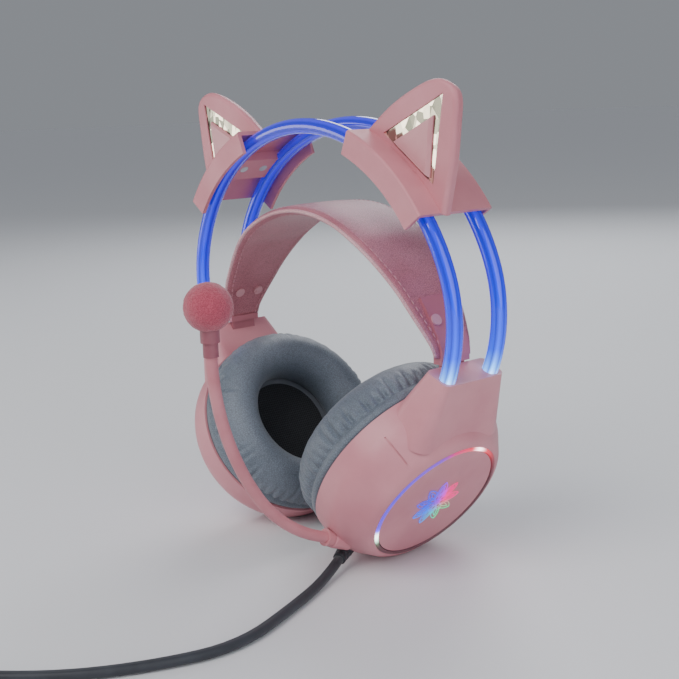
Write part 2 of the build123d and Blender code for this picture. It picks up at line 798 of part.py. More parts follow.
def make_controls():
    """The volume wheel, the mute button and the small board that carries them."""
    near = wheel_depth - wheel_thickness / 2
    far = wheel_depth + wheel_thickness / 2
    place = at_angle(wheel_centre_radius, wheel_angle, wheel_depth)
    wheel = Cylinder(wheel_radius, wheel_thickness)
    for number in range(wheel_notches):
        notch = Rot(0, 0, 360 * number / wheel_notches) * Pos(wheel_radius + 0.2, 0, 0)
        wheel -= notch * Cylinder(0.6, wheel_thickness + 1)
    wheel = place * (wheel - Cylinder(axle_radius + axle_clearance, wheel_thickness + 1))
    board_far = near - 1.2
    board = ring(board_rim_radius, board_rim_radius - 17, board_far - 1.2, board_far)
    board &= in_neighbourhood((wheel_angle + mute_angle) / 2, board_far, board_rim_radius, Box(50, 36, 20))
    axle = far + 0.6 - board_far
    board += at_angle(wheel_centre_radius, wheel_angle, board_far + axle / 2) * Cylinder(axle_radius, axle)
    switch = Box(3.2, 7.0, 5.0)
    board += in_neighbourhood(mute_angle, board_far + 2.5, switch_top - 1.6, switch)
    stand = cup_depth - baffle_thickness - board_far
    for angle in (-106, -122):
        board += at_angle(30.5, angle, board_far + stand / 2) * Cylinder(1.8, stand)
    button = radial_rod(mute_radius, mute_angle, wheel_depth, switch_top + 1.1, bowl_radius + mute_proud)
    button += radial_rod(mute_radius + mute_flange, mute_angle, wheel_depth, switch_top + 1.1, switch_top + 2.2)
    return wheel, button, board


def control_cuts():
    """Openings in the microphone side's shell for the wheel and the button."""
    place = at_angle(wheel_centre_radius, wheel_angle, wheel_depth)
    cuts = place * Cylinder(wheel_radius + 0.5, wheel_thickness + 0.8)
    return cuts + radial_rod(mute_radius + mute_clearance, mute_angle, wheel_depth, switch_top - 2.3,
                             bowl_radius + mute_proud + 3)


# ---- cord ----------------------------------------------------------------
def cord_radii(points):
    """Bend radii as large as the runs on both sides of each corner allow."""
    radii = []
    for before, here, after in zip(points, points[1:], points[2:]):
        first = Vector(*here) - Vector(*before)
        second = Vector(*after) - Vector(*here)
        half_turn = radians(first.get_angle(second)) / 2
        radii.append(0.45 * min(first.length, second.length) / tan(half_turn))
    return radii


def make_cord():
    """The lying cord, its strain relief, the put-away coil with its tie, and the plug."""
    radii = cord_radii(cord_route)
    print("cord bend radii:", [round(radius, 1) for radius in radii])
    path = FilletPolyline(*cord_route, radius=radii)
    run = sweep(Plane(origin=path @ 0, z_dir=path % 0) * Circle(cord_diameter / 2), path)
    print("cord run length", round(path.length, 1), "volume ratio",
          round(run.volume / (pi * (cord_diameter / 2) ** 2 * path.length), 4))

    exit_point = Vector(*cord_route[0])
    direction = (Vector(*cord_route[1]) - exit_point).normalized()
    relief_plane = Plane(origin=exit_point - direction * relief_length, z_dir=direction)
    relief_middle = relief_plane.location * Pos(0, 0, relief_length / 2)
    relief = relief_middle * Cone(relief_base_radius, relief_tip_radius, relief_length)
    relief_hole = relief_middle * Cone(relief_base_radius + relief_clearance,
                                       relief_tip_radius + relief_clearance,
                                       relief_length + 2 * relief_clearance)

    last = Vector(*cord_route[-1])
    travel = (last - Vector(*cord_route[-2])).normalized()
    entry_radius = coil_mean_radius + (coil_columns - 1) * cord_diameter / 2
    centre = last + Vector(-travel.Y, travel.X, 0) * entry_radius
    half_width = coil_columns * cord_diameter / 2
    height = coil_layers * cord_diameter
    middle = cord_rest + (height - cord_diameter) / 2
    coil = Pos(centre.X, centre.Y, middle) * (Cylinder(coil_mean_radius + half_width, height)
                                             - Cylinder(coil_mean_radius - half_width, height + 2))
    tie_place = Pos(centre.X, centre.Y, middle) * Rot(0, 0, tie_angle) * Pos(coil_mean_radius, 0, 0)
    tie = tie_place * Pos(0, 0, tie_thickness / 2) * Box(2 * (half_width + tie_thickness), tie_width,
                                                        height + tie_thickness)
    tie -= tie_place * Pos(0, 0, tie_thickness / 2) * Box(2 * half_width, tie_width + 1,
                                                         height - tie_thickness)
    run -= coil

    tail_y = centre.Y - sqrt((coil_mean_radius + half_width) ** 2 - entry_radius ** 2) - tail_length
    tail_x = centre.X - entry_radius
    tail = Pos(tail_x, (centre.Y + tail_y) / 2, tail_height) * Rot(90, 0, 0)
    tail = tail * Cylinder(cord_diameter / 2, centre.Y - tail_y) - coil

    grip = Pos(tail_x, tail_y - plug_length / 2, tail_height) * Box(plug_width, plug_length, plug_thickness)
    grip = fillet(grip.edges().filter_by(Axis.Y), 2.0)
    shell_middle = Pos(tail_x, tail_y - plug_length - plug_shell_length / 2, tail_height)
    shell = shell_middle * Box(plug_shell_width, plug_shell_length, plug_shell_thickness)
    shell -= shell_middle * Box(plug_shell_width - 0.8, plug_shell_length + 1, plug_shell_thickness - 0.8)
    tongue = Box(plug_shell_width - 0.8, plug_shell_length - 0.5, plug_shell_thickness / 2 - 0.6)
    tongue = shell_middle * Pos(0, 0.25, plug_shell_thickness / 4 - 0.1) * tongue

    nodes["strain_relief"] = relief
    nodes["cord_run"] = run
    nodes["cord_coil"] = coil - tie
    nodes["cord_tail"] = tail
    nodes["cord_tie"] = tie
    nodes["usb_plug_grip"] = grip
    nodes["usb_plug_shell"] = shell
    nodes["usb_plug_tongue"] = tongue
    return relief_hole


# ---- the whole headset ---------------------------------------------------
def add_pair(name, part):
    """Names a part that both cups have: left is the microphone side, at +X."""
    nodes[name + "_left"] = part
    nodes[name + "_right"] = other_side(part)


def build():
    make_hoops()
    relief_hole = Pos(0, -head_y, -stand_rise) * make_cord()
    socket = make_socket()
    wheel, button, board = make_controls()

    shell = make_shell()
    nodes["cup_shell_right"] = other_side(shell - under_table())
    shell -= in_cup(control_cuts())
    inside = in_cup(bowl(wall + 1.0))
    socket -= inside
    shell -= relief_hole
    shell -= along_socket(socket_radius, -socket_root, 30)
    nodes["cup_shell_left"] = shell - under_table()
    nodes["mic_socket"] = socket - along_socket(pivot_radius + axle_clearance, socket_tip - pivot_length - 0.3,
                                                socket_tip + 1)
    nodes["volume_wheel"] = in_cup(wheel)
    nodes["mute_button"] = in_cup(button)
    nodes["control_board"] = in_cup(board)

    add_pair("neck_cap", cap_solid() - tube_bores() - strap_slot())
    plate, light, led_board = make_face_parts()
    add_pair("face_plate", in_cup(plate))
    add_pair("ring_light", in_cup(light))
    add_pair("led_board", in_cup(led_board))
    add_pair("emblem_light", in_cup(make_emblem()))
    add_pair("baffle", in_cup(make_baffle()))
    frame, magnet, diaphragm = make_driver()
    add_pair("driver_frame", in_cup(frame))
    add_pair("driver_magnet", in_cup(magnet))
    add_pair("driver_diaphragm", in_cup(diaphragm))
    add_pair("speaker_cloth", in_cup(ring(cloth_radius - 2, 0, cup_depth, cup_depth + cloth_thickness)))
    add_pair("ear_cushion", in_cup(make_cushion()))
    screws = in_cup(make_baffle_screws())
    nodes["baffle_screws"] = screws + other_side(screws)

    add_pair("saddle", make_saddle() - clamp_screws(screw_radius, roof_low - 1, roof_high - 0.6))
    add_pair("saddle_clamp", make_clamp())
    grips = clamp_screws(screw_radius, -clamp_drop, roof_high - 0.6)
    grips += clamp_screws(screw_head_radius, -clamp_drop, -clamp_drop + screw_head)
    nodes["saddle_screws"] = grips + other_side(grips)
    ear, vee, panel = make_ear_inlays(make_ear())
    add_pair("cat_ear", ear)
    add_pair("ear_mirror", vee)
    add_pair("ear_panel", panel)

    band, slider, rivets = make_strap()
    nodes["strap"] = band
    add_pair("strap_slider", slider)
    nodes["strap_rivets"] = rivets + other_side(rivets)

    boom, capsule, foam = make_microphone()
    nodes["mic_boom"] = boom
    nodes["mic_capsule"] = capsule
    nodes["mic_foam"] = foam


def export_all():
    cord_names = ("strain_relief", "cord_run", "cord_coil", "cord_tail", "cord_tie", "usb_plug_grip",
                  "usb_plug_shell", "usb_plug_tongue")
    low = [1e9] * 3
    high = [-1e9] * 3
    for name, part in nodes.items():
        if name not in cord_names:
            part = Pos(0, head_y, stand_rise) * part
            box = part.bounding_box()
            low = [min(a, b) for a, b in zip(low, tuple(box.min))]
            high = [max(a, b) for a, b in zip(high, tuple(box.max))]
        solids = part.solids()
        whole = solids[0] if len(solids) == 1 else Compound(children=list(solids))
        export_step(whole, "parts/" + name + ".step")
        print(name, len(solids), round(sum(solid.volume for solid in solids) / 1000, 3), "cm3")
    print("box without the cord", [round(value, 2) for value in low], [round(value, 2) for value in high])


build()
export_all()
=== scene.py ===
import bpy
import bmesh
import random
from math import sin, cos, pi, radians, sqrt, exp, atan2
from mathutils import Vector, Matrix, noise


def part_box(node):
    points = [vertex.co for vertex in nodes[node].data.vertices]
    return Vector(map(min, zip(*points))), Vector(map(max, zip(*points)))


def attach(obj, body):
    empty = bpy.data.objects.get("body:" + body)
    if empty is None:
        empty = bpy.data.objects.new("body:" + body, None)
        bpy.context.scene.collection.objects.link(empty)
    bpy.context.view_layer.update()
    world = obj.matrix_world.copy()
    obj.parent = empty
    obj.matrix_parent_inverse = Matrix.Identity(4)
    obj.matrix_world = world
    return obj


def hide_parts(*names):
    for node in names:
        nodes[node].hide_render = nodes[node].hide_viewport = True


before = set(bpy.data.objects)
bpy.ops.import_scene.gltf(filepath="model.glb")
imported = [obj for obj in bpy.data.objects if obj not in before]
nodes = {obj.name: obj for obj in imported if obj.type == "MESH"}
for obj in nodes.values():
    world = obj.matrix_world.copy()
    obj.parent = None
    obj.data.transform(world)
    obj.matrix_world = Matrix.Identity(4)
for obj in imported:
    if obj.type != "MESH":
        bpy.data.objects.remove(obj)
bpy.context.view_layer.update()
scene = bpy.context.scene
mm = 0.001
sides = {"left": 1, "right": -1}        # left is the microphone side, at +X


# small helpers

def linear(hexColour):
    # sRGB hex to the linear RGBA that shaders take
    values = [int(hexColour[i:i + 2], 16) / 255 for i in (1, 3, 5)]
    return [v / 12.92 if v <= 0.04045 else ((v + 0.055) / 1.055) ** 2.4 for v in values] + [1.0]


def addNode(tree, kind, settings=None, links=None):
    # one node with its settings and its incoming links
    node = tree.nodes.new(kind)
    for name, value in (settings or {}).items():
        if name == "stops":
            ramp = node.color_ramp
            while len(ramp.elements) < len(value):
                ramp.elements.new(0.5)
            for element, (place, colour) in zip(ramp.elements, value):
                element.position = place
                element.color = linear(colour)
        elif isinstance(name, int) or name in node.inputs.keys():
            node.inputs[name].default_value = value
        else:
            setattr(node, name, value)
    for name, socket in (links or {}).items():
        tree.links.new(socket, node.inputs[name])
    return node


def meshPiece(name, points, faces, smooth=True):
    mesh = bpy.data.meshes.new(name)
    mesh.from_pydata([tuple(p) for p in points], [], faces)
    mesh.update()
    mesh.polygons.foreach_set("use_smooth", [smooth] * len(mesh.polygons))
    piece = bpy.data.objects.new(name, mesh)
    scene.collection.objects.link(piece)
    return piece


def setMaterial(piece, material):
    piece.data.materials.clear()
    piece.data.materials.append(material)


def paint(material, *names):
    # gives CAD nodes their finish
    for name in names:
        for slot in nodes[name].material_slots:
            slot.material = material


def ringGrid(rows, closedRows=False, closedRing=True):
    # faces between rows of equal length
    count = len(rows[0])
    faces = []
    for i in range(len(rows) if closedRows else len(rows) - 1):
        for k in range(count if closedRing else count - 1):
            j, m = (i + 1) % len(rows), (k + 1) % count
            faces.append((i * count + k, i * count + m, j * count + m, j * count + k))
    return faces


def turnFacesOut(piece):
    mesh = bmesh.new()
    mesh.from_mesh(piece.data)
    bmesh.ops.remove_doubles(mesh, verts=mesh.verts, dist=0.00001)
    bmesh.ops.recalc_face_normals(mesh, faces=mesh.faces)
    mesh.to_mesh(piece.data)
    mesh.free()


def finishPiece(piece, body, material=None, replaced=()):
    if material:
        setMaterial(piece, material)
    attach(piece, body)
    if replaced:
        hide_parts(*replaced)
    return piece


# camera
cameraSettings = {
    "place": (0.4209, -0.31319, 0.20755),
    "target": (0.0028, 0.03024, 0.09845),
    "rollDegrees": -2.119,
    "lens": 60.0,
    "sensor": 36.0,
}


def makeCamera():
    data = bpy.data.cameras.new("camera")
    data.lens = cameraSettings["lens"]
    data.sensor_width = cameraSettings["sensor"]
    data.dof.use_dof = False
    data.clip_start, data.clip_end = 0.01, 100
    camera = bpy.data.objects.new("camera", data)
    scene.collection.objects.link(camera)
    place = Vector(cameraSettings["place"])
    look = Vector(cameraSettings["target"]) - place
    roll = Matrix.Rotation(radians(cameraSettings["rollDegrees"]), 3, "Z")
    turn = look.to_track_quat("-Z", "Y").to_matrix() @ roll
    camera.matrix_world = Matrix.Translation(place) @ turn.to_4x4()
    scene.camera = camera


makeCamera()
print("camera placed")


# materials
# Patterns read Object coordinates, in metres, so a scale is one over the size of the pattern's cells.

cupFrame = {"faceCentre": (0.0676, 0.03024, 0.03145), "tiltDegrees": 32.8}
tilt = radians(cupFrame["tiltDegrees"])
cupOrigin = Vector(cupFrame["faceCentre"])
cupUp = Vector((sin(tilt), 0, cos(tilt)))
cupFront = Vector((0, -1, 0))
cupOut = Vector((cos(tilt), 0, -sin(tilt)))


def inCup(radius, angle, depth, side=1):
    # angle 0 is the top of the cup and 90 its front, depth runs inward from the outer face
    point = cupOrigin + cupUp * (radius * cos(angle)) + cupFront * (radius * sin(angle)) - cupOut * depth
    return Vector((point.x * side, point.y, point.z))


def newTree(name):
    material = bpy.data.materials.new(name)
    material.use_nodes = True
    material.node_tree.nodes.clear()
    return material, material.node_tree


def closeTree(tree, settings, links=None):
    shader = addNode(tree, "ShaderNodeBsdfPrincipled", settings, links)
    addNode(tree, "ShaderNodeOutputMaterial", links={"Surface": shader.outputs[0]})
    return shader


def objectPlace(tree):
    return addNode(tree, "ShaderNodeTexCoord").outputs["Object"]


def cupPlace(tree):
    # the place in the cup's own frame (x up the face, y forward, z outward), the same for both cups
    parts = addNode(tree, "ShaderNodeSeparateXYZ", links={0: objectPlace(tree)})
    side = addNode(tree, "ShaderNodeMath", {"operation": "ABSOLUTE"}, {0: parts.outputs[0]})
    folded = addNode(tree, "ShaderNodeCombineXYZ",
                     links={0: side.outputs[0], 1: parts.outputs[1], 2: parts.outputs[2]})
    turn = Matrix((cupUp, cupFront, cupOut)).transposed().to_euler("XYZ")
    placed = addNode(tree, "ShaderNodeMapping",
                     {"vector_type": "TEXTURE", "Location": cupOrigin, "Rotation": turn},
                     {"Vector": folded.outputs[0]})
    return placed.outputs[0]


def grain(tree, place, size, depth, strength=0.6, detail=3.0):
    # bump of fine spark-eroded or cast grain, sizes in metres
    noiseNode = addNode(tree, "ShaderNodeTexNoise", {"Scale": 1 / size, "Detail": detail, "Roughness": 0.6},
                        {"Vector": place})
    return addNode(tree, "ShaderNodeBump", {"Strength": strength, "Distance": depth},
                   {"Height": noiseNode.outputs[0]})


def cloudedColour(tree, place, size, dark, light):
    # slow variation of colour from one spot to the next
    cloud = addNode(tree, "ShaderNodeTexNoise", {"Scale": 1 / size, "Detail": 4.0}, {"Vector": place})
    ramp = addNode(tree, "ShaderNodeValToRGB", {"stops": [(0.32, dark), (0.68, light)]}, {0: cloud.outputs[0]})
    return ramp.outputs[0]


def mouldedAbs(name, dark, light, roughness, grainSize=0.5 * mm):
    # ABS from a spark-eroded mould: satin, with a fine even grain and faint flow clouds
    material, tree = newTree(name)
    place = objectPlace(tree)
    bump = grain(tree, place, grainSize, 0.02 * mm, 0.5)
    wear = addNode(tree, "ShaderNodeTexNoise", {"Scale": 1 / (9 * mm), "Detail": 5.0}, {"Vector": place})
    rough = addNode(tree, "ShaderNodeMapRange", {1: 0.3, 2: 0.7, 3: roughness - 0.05, 4: roughness + 0.06},
                    {0: wear.outputs[0]})
    closeTree(tree, {"IOR": 1.53, "Specular IOR Level": 0.45},
              {"Base Color": cloudedColour(tree, place, 26 * mm, dark, light), "Normal": bump.outputs[0],
               "Roughness": rough.outputs[0]})
    return material


def leatherette(name, dark, light, cell, roughness, sheen):
    # polyurethane leatherette: pebbled cells with fine creases between them, painted shade in those creases, and a
    # soft sheen
    material, tree = newTree(name)
    place = objectPlace(tree)
    warp = addNode(tree, "ShaderNodeTexNoise", {"Scale": 1 / (4 * cell), "Detail": 2.0}, {"Vector": place})
    bent = addNode(tree, "ShaderNodeVectorMath", {"operation": "MULTIPLY_ADD", 1: (cell * 0.8,) * 3},
                   {0: warp.outputs[1], 2: place})
    cells = addNode(tree, "ShaderNodeTexVoronoi", {"feature": "DISTANCE_TO_EDGE", "Scale": 1 / cell},
                    {"Vector": bent.outputs[0]})
    pebble = addNode(tree, "ShaderNodeMapRange", {1: 0.0, 2: 0.22, "interpolation_type": "SMOOTHSTEP"},
                     {0: cells.outputs[0]})
    bump = addNode(tree, "ShaderNodeBump", {"Strength": 0.55, "Distance": 0.09 * mm},
                   {"Height": pebble.outputs[0]})
    colour = cloudedColour(tree, place, 18 * mm, dark, light)
    # painted shade: the colour is darkened in the creases between the pebbles
    paintedCreaseShade = addNode(tree, "ShaderNodeMix", {"data_type": "RGBA", "blend_type": "MULTIPLY", 0: 0.35},
                     {6: colour, 7: pebble.outputs[0]})
    closeTree(tree, {"IOR": 1.48, "Sheen Weight": sheen, "Sheen Roughness": 0.4, "Roughness": roughness},
              {"Base Color": paintedCreaseShade.outputs[2], "Normal": bump.outputs[0]})
    return material


tubeGlow = {"foot": 0.090, "crown": 0.204, "power": 5.4}     # heights between which the light changes


def tubeRise(tree, place):
    # 0 at the tubes' lit feet, 1 at the crown
    parts = addNode(tree, "ShaderNodeSeparateXYZ", links={0: place})
    rise = addNode(tree, "ShaderNodeMapRange", {1: tubeGlow["foot"], 2: tubeGlow["crown"]}, {0: parts.outputs[2]})
    return rise.outputs[0]


def litAcrylic():
    # blue acrylic tube that carries light: white-hot at its lit foot, deep blue above, violet over the crown, crossed
    # lengthwise by bands of painted highlight and painted shade
    material, tree = newTree("litAcrylicTube")
    rise = tubeRise(tree, objectPlace(tree))
    colour = addNode(tree, "ShaderNodeValToRGB", {"stops": [
        (0.0, "#DDF8FF"), (0.05, "#6CC4FF"), (0.13, "#0A58FF"), (0.4, "#0A22FF"), (0.75, "#1A18F0"),
        (1.0, "#4A38F0")]}, {0: rise})
    strength = addNode(tree, "ShaderNodeFloatCurve", links={"Value": rise})
    curve = strength.mapping.curves[0]
    curve.points[0].location, curve.points[1].location = (0.0, 1.0), (1.0, 0.13)
    for point in ((0.05, 0.6), (0.14, 0.34), (0.45, 0.2)):
        curve.points.new(*point)
    strength.mapping.update()
    # painted highlight and painted shade: the glow is made brighter and dimmer in bands round the tube by which way
    # its surface faces
    facing = addNode(tree, "ShaderNodeTexCoord").outputs["Normal"]
    normal = addNode(tree, "ShaderNodeSeparateXYZ", links={0: facing})
    around = addNode(tree, "ShaderNodeMapRange", {1: -1.0, 2: 1.0}, {0: normal.outputs[1]})
    paintedHighlightBands = addNode(tree, "ShaderNodeValToRGB", {"stops": [
        (0.0, "#C0C0C0"), (0.05, "#707070"), (0.16, "#FFFFFF"), (0.27, "#D8D8D8"), (0.4, "#7A7A7A"),
        (0.55, "#BCBCBC"), (0.68, "#606060"), (0.85, "#8C8C8C"), (1.0, "#C0C0C0")]}, {0: around.outputs[0]})
    glowWithPaintedBands = addNode(tree, "ShaderNodeMath", {"operation": "MULTIPLY"},
                       {0: strength.outputs[0], 1: paintedHighlightBands.outputs[0]})
    power = addNode(tree, "ShaderNodeMath", {"operation": "MULTIPLY", 1: tubeGlow["power"]},
                    {0: glowWithPaintedBands.outputs[0]})
    closeTree(tree, {"IOR": 1.49, "Roughness": 0.05, "Transmission Weight": 0.25, "Coat Weight": 0.6,
                     "Coat Roughness": 0.03, "Base Color": linear("#1426C8")},
              {"Emission Color": colour.outputs[0], "Emission Strength": power.outputs[0]})
    return material


def lightCore():
    # violet-tinted light guide inside each tube, darker than the wall round it
    material, tree = newTree("violetLightGuide")
    place = objectPlace(tree)
    colour = addNode(tree, "ShaderNodeValToRGB", {"stops": [(0.0, "#BFE4FF"), (0.12, "#1C34F0"), (1.0, "#3A1CE0")]},
                     {0: tubeRise(tree, place)})
    streak = addNode(tree, "ShaderNodeTexNoise", {"Scale": 180.0, "Detail": 2.0}, {"Vector": place})
    power = addNode(tree, "ShaderNodeMapRange", {1: 0.35, 2: 0.65, 3: 0.7, 4: 1.5}, {0: streak.outputs[0]})
    closeTree(tree, {"Roughness": 0.3, "Base Color": linear("#3A2FA8")},
              {"Emission Color": colour.outputs[0], "Emission Strength": power.outputs[0]})
    return material


def ringDiffuser():
    # frosted polycarbonate over a row of lamps: each part of the ring shows its own colour, the rest is unlit
    material, tree = newTree("frostedRingDiffuser")
    parts = addNode(tree, "ShaderNodeSeparateXYZ", links={0: cupPlace(tree)})
    angle = addNode(tree, "ShaderNodeMath", {"operation": "ARCTAN2"}, {0: parts.outputs[1], 1: parts.outputs[0]})
    share = addNode(tree, "ShaderNodeMapRange", {1: -pi, 2: pi}, {0: angle.outputs[0]})
    colour = addNode(tree, "ShaderNodeValToRGB", {"stops": [
        (0.0, "#2A1418"), (0.26, "#3A1016"), (0.34, "#A00A28"), (0.41, "#FF1038"), (0.436, "#FFE4E8"),
        (0.452, "#FFE4E8"), (0.474, "#FF1040"), (0.525, "#D81878"), (0.56, "#7020E8"), (0.68, "#2A10FF"),
        (0.785, "#4A2CFF"), (0.80, "#F0FFF8"), (0.825, "#D0FFE4"), (0.845, "#1E8050"), (0.87, "#2A1418")]},
        {0: share.outputs[0]})
    glow = addNode(tree, "ShaderNodeValToRGB", {"stops": [
        (0.26, "#000000"), (0.36, "#606060"), (0.42, "#909090"), (0.444, "#FFFFFF"), (0.47, "#909090"),
        (0.55, "#848484"), (0.77, "#909090"), (0.81, "#FFFFFF"), (0.84, "#606060"), (0.87, "#000000")]},
        {0: share.outputs[0]})
    power = addNode(tree, "ShaderNodeMath", {"operation": "MULTIPLY", 1: 5.0}, {0: glow.outputs[0]})
    closeTree(tree, {"IOR": 1.58, "Roughness": 0.4, "Base Color": linear("#744850"),
                     "Subsurface Weight": 0.2, "Subsurface Scale": 0.002},
              {"Emission Color": colour.outputs[0], "Emission Strength": power.outputs[0]})
    return material


def emblemDiffuser():
    # clear letterless line art lit from behind: blue to the front, magenta to the rear top, green-cyan below
    material, tree = newTree("glowingLineArt")
    parts = addNode(tree, "ShaderNodeSeparateXYZ", links={0: cupPlace(tree)})
    across = addNode(tree, "ShaderNodeMapRange", {1: -0.006, 2: 0.006}, {0: parts.outputs[1]})
    down = addNode(tree, "ShaderNodeMapRange", {1: 0.000, 2: -0.007}, {0: parts.outputs[0]})
    top = addNode(tree, "ShaderNodeValToRGB", {"stops": [(0.1, "#FF1478"), (0.45, "#A828FF"), (0.8, "#1E3CFF")]},
                  {0: across.outputs[0]})
    low = addNode(tree, "ShaderNodeValToRGB", {"stops": [(0.1, "#10E890"), (0.9, "#0A78FF")]},
                  {0: across.outputs[0]})
    colour = addNode(tree, "ShaderNodeMix", {"data_type": "RGBA"},
                     {0: down.outputs[0], 6: top.outputs[0], 7: low.outputs[0]})
    closeTree(tree, {"Roughness": 0.35, "Emission Strength": 1.7, "Base Color": linear("#2A2070")},
              {"Emission Color": colour.outputs[2]})
    return material


def mirrorFilm():
    # vacuum-metallised film with a cracked-ice emboss, each facet tipped its own way, and painted reflections: cream
    # and grey-green facet tints stand in for the room it mirrors
    material, tree = newTree("metallisedMirrorFilm")
    place = addNode(tree, "ShaderNodeMapping", {"Rotation": (0, 0.5, 0), "Scale": (1.0, 1.0, 0.6)},
                    {"Vector": objectPlace(tree)})
    facets = addNode(tree, "ShaderNodeTexVoronoi", {"Scale": 1 / (3.4 * mm), "Randomness": 0.9},
                     {"Vector": place.outputs[0]})
    paintedReflectionPick = addNode(tree, "ShaderNodeSeparateXYZ", links={0: facets.outputs[1]})
    # painted reflection: each facet's tint, from dark grey-green to cream, stands in for what it would reflect
    colour = addNode(tree, "ShaderNodeValToRGB", {"stops": [(0.1, "#6E6F62"), (0.45, "#B4AF9C"), (0.75, "#FFF3DC")]},
                     {0: paintedReflectionPick.outputs[0]})
    bump = addNode(tree, "ShaderNodeBump", {"Strength": 0.35, "Distance": 0.5 * mm}, {"Height": facets.outputs[0]})
    closeTree(tree, {"Metallic": 1.0, "Roughness": 0.1},
              {"Base Color": colour.outputs[0], "Normal": bump.outputs[0]})
    return material


def openCellFoam():
    # open-cell polyurethane foam: dull, with pores about half a millimetre across that are darkened with painted shade
    material, tree = newTree("openCellFoam")
    place = objectPlace(tree)
    cells = addNode(tree, "ShaderNodeTexVoronoi", {"Scale": 1 / (0.5 * mm), "Randomness": 1.0}, {"Vector": place})
    # painted shade: the colour darkens towards each pore, where the bump dips
    colour = addNode(tree, "ShaderNodeValToRGB", {"stops": [(0.12, "#8A2F42"), (0.5, "#AE4A5C"), (0.9, "#BA5668")]},
                     {0: cells.outputs[0]})
    bump = addNode(tree, "ShaderNodeBump", {"Strength": 0.6, "Distance": 0.15 * mm}, {"Height": cells.outputs[0]})
    closeTree(tree, {"Roughness": 0.95, "Specular IOR Level": 0.15, "Sheen Weight": 0.35, "Sheen Roughness": 0.6},
              {"Base Color": colour.outputs[0], "Normal": bump.outputs[0]})
    return material


def knitMesh():
    # black warp-knit over the loudspeaker: 1.2 mm meshes with shaded holes
    material, tree = newTree("warpKnitMesh")
    place = cupPlace(tree)
    holes = addNode(tree, "ShaderNodeTexVoronoi", {"Scale": 1 / (1.2 * mm), "Randomness": 0.15}, {"Vector": place})
    colour = addNode(tree, "ShaderNodeValToRGB", {"stops": [(0.15, "#050607"), (0.45, "#2A2D31"), (0.8, "#3A3E43")]},
                     {0: holes.outputs[0]})
    bump = addNode(tree, "ShaderNodeBump", {"Strength": 0.9, "Distance": 0.3 * mm}, {"Height": holes.outputs[0]})
    closeTree(tree, {"Roughness": 0.85, "Specular IOR Level": 0.2, "Sheen Weight": 0.3},
              {"Base Color": colour.outputs[0], "Normal": bump.outputs[0]})
    return material


def rubber(name, dark, light, roughness):
    # cast elastomer: soft low gloss with a very fine tooth
    material, tree = newTree(name)
    place = objectPlace(tree)
    bump = grain(tree, place, 0.35 * mm, 0.02 * mm, 0.5)
    closeTree(tree, {"IOR": 1.5, "Roughness": roughness, "Specular IOR Level": 0.35, "Sheen Weight": 0.1},
              {"Base Color": cloudedColour(tree, place, 12 * mm, dark, light), "Normal": bump.outputs[0]})
    return material


def metal(name, dark, light, roughness, brushed=0.0):
    # plated or machined metal; brushed marks run across X
    material, tree = newTree(name)
    place = objectPlace(tree)
    stretched = addNode(tree, "ShaderNodeMapping", {"Scale": (1 + 20 * brushed, 1, 1)}, {"Vector": place})
    bump = grain(tree, stretched.outputs[0], 0.4 * mm, 0.01 * mm, 0.5)
    closeTree(tree, {"Metallic": 1.0, "Roughness": roughness},
              {"Base Color": cloudedColour(tree, place, 5 * mm, dark, light), "Normal": bump.outputs[0]})
    return material


def spunThread(name, colour):
    # polyester sewing thread with twisted plies
    material, tree = newTree(name)
    place = objectPlace(tree)
    plies = addNode(tree, "ShaderNodeTexWave",
                    {"Scale": 1 / (0.5 * mm), "Distortion": 0.5, "bands_direction": "DIAGONAL"}, {"Vector": place})
    bump = addNode(tree, "ShaderNodeBump", {"Strength": 0.6, "Distance": 0.05 * mm}, {"Height": plies.outputs[1]})
    closeTree(tree, {"Roughness": 0.6, "Sheen Weight": 0.3, "Base Color": linear(colour)},
              {"Normal": bump.outputs[0]})
    return material


pinkShell = mouldedAbs("satinPinkAbs", "#CB838D", "#D7929B", 0.42)
pinkTrim = mouldedAbs("mattPinkAbs", "#C97F89", "#D58D96", 0.48)
greyInner = mouldedAbs("greyAbs", "#6B7078", "#777C84", 0.5)
pinkInner = mouldedAbs("smoothPinkAbs", "#CE8D94", "#DA9DA3", 0.38, 0.9 * mm)
tubeWall = litAcrylic()
tubeCore = lightCore()
ringLight = ringDiffuser()
emblemLight = emblemDiffuser()
mirrorSkin = mirrorFilm()
greyLeather = leatherette("greyPuLeatherette", "#69737F", "#78828E", 0.9 * mm, 0.46, 0.15)
pinkLeather = leatherette("pinkPuLeatherette", "#B96D79", "#C57B86", 0.8 * mm, 0.44, 0.2)
pipingSkin = leatherette("palePipingLeatherette", "#DDA3A9", "#E8B4B9", 0.8 * mm, 0.38, 0.1)
speakerMesh = knitMesh()
foamSkin = openCellFoam()
boomRubber = rubber("pinkSiliconeBoom", "#C07780", "#CC868E", 0.55)
capsuleShell = mouldedAbs("darkRoseAbs", "#8E4F5B", "#995A65", 0.5)
cordJacket = rubber("greyTpeJacket", "#2E3036", "#3A3D44", 0.5)
reliefRubber = rubber("darkPvcBoot", "#26282D", "#303339", 0.55)
plugMetal = metal("nickelPlatedShell", "#B8BBBE", "#D5D7D9", 0.25, 1.0)
plugTongue = mouldedAbs("whiteLcpTongue", "#DAD8D2", "#E6E4DE", 0.45)
screwSteel = metal("zincPlatedSteel", "#A9ABAE", "#C3C5C8", 0.32)
rivetMetal = mouldedAbs("enamelledRivet", "#CF949B", "#DAA3A9", 0.3)
strapPlate = mouldedAbs("strapTonedNylon", "#B36874", "#BF7681", 0.5)
boardGreen = mouldedAbs("solderMaskGreen", "#1F5A37", "#276B43", 0.35)
driverSteel = metal("stampedBasketSteel", "#8C8F93", "#A0A3A7", 0.4, 1.0)
magnetFerrite = mouldedAbs("groundFerrite", "#2A2B2D", "#37383B", 0.6)
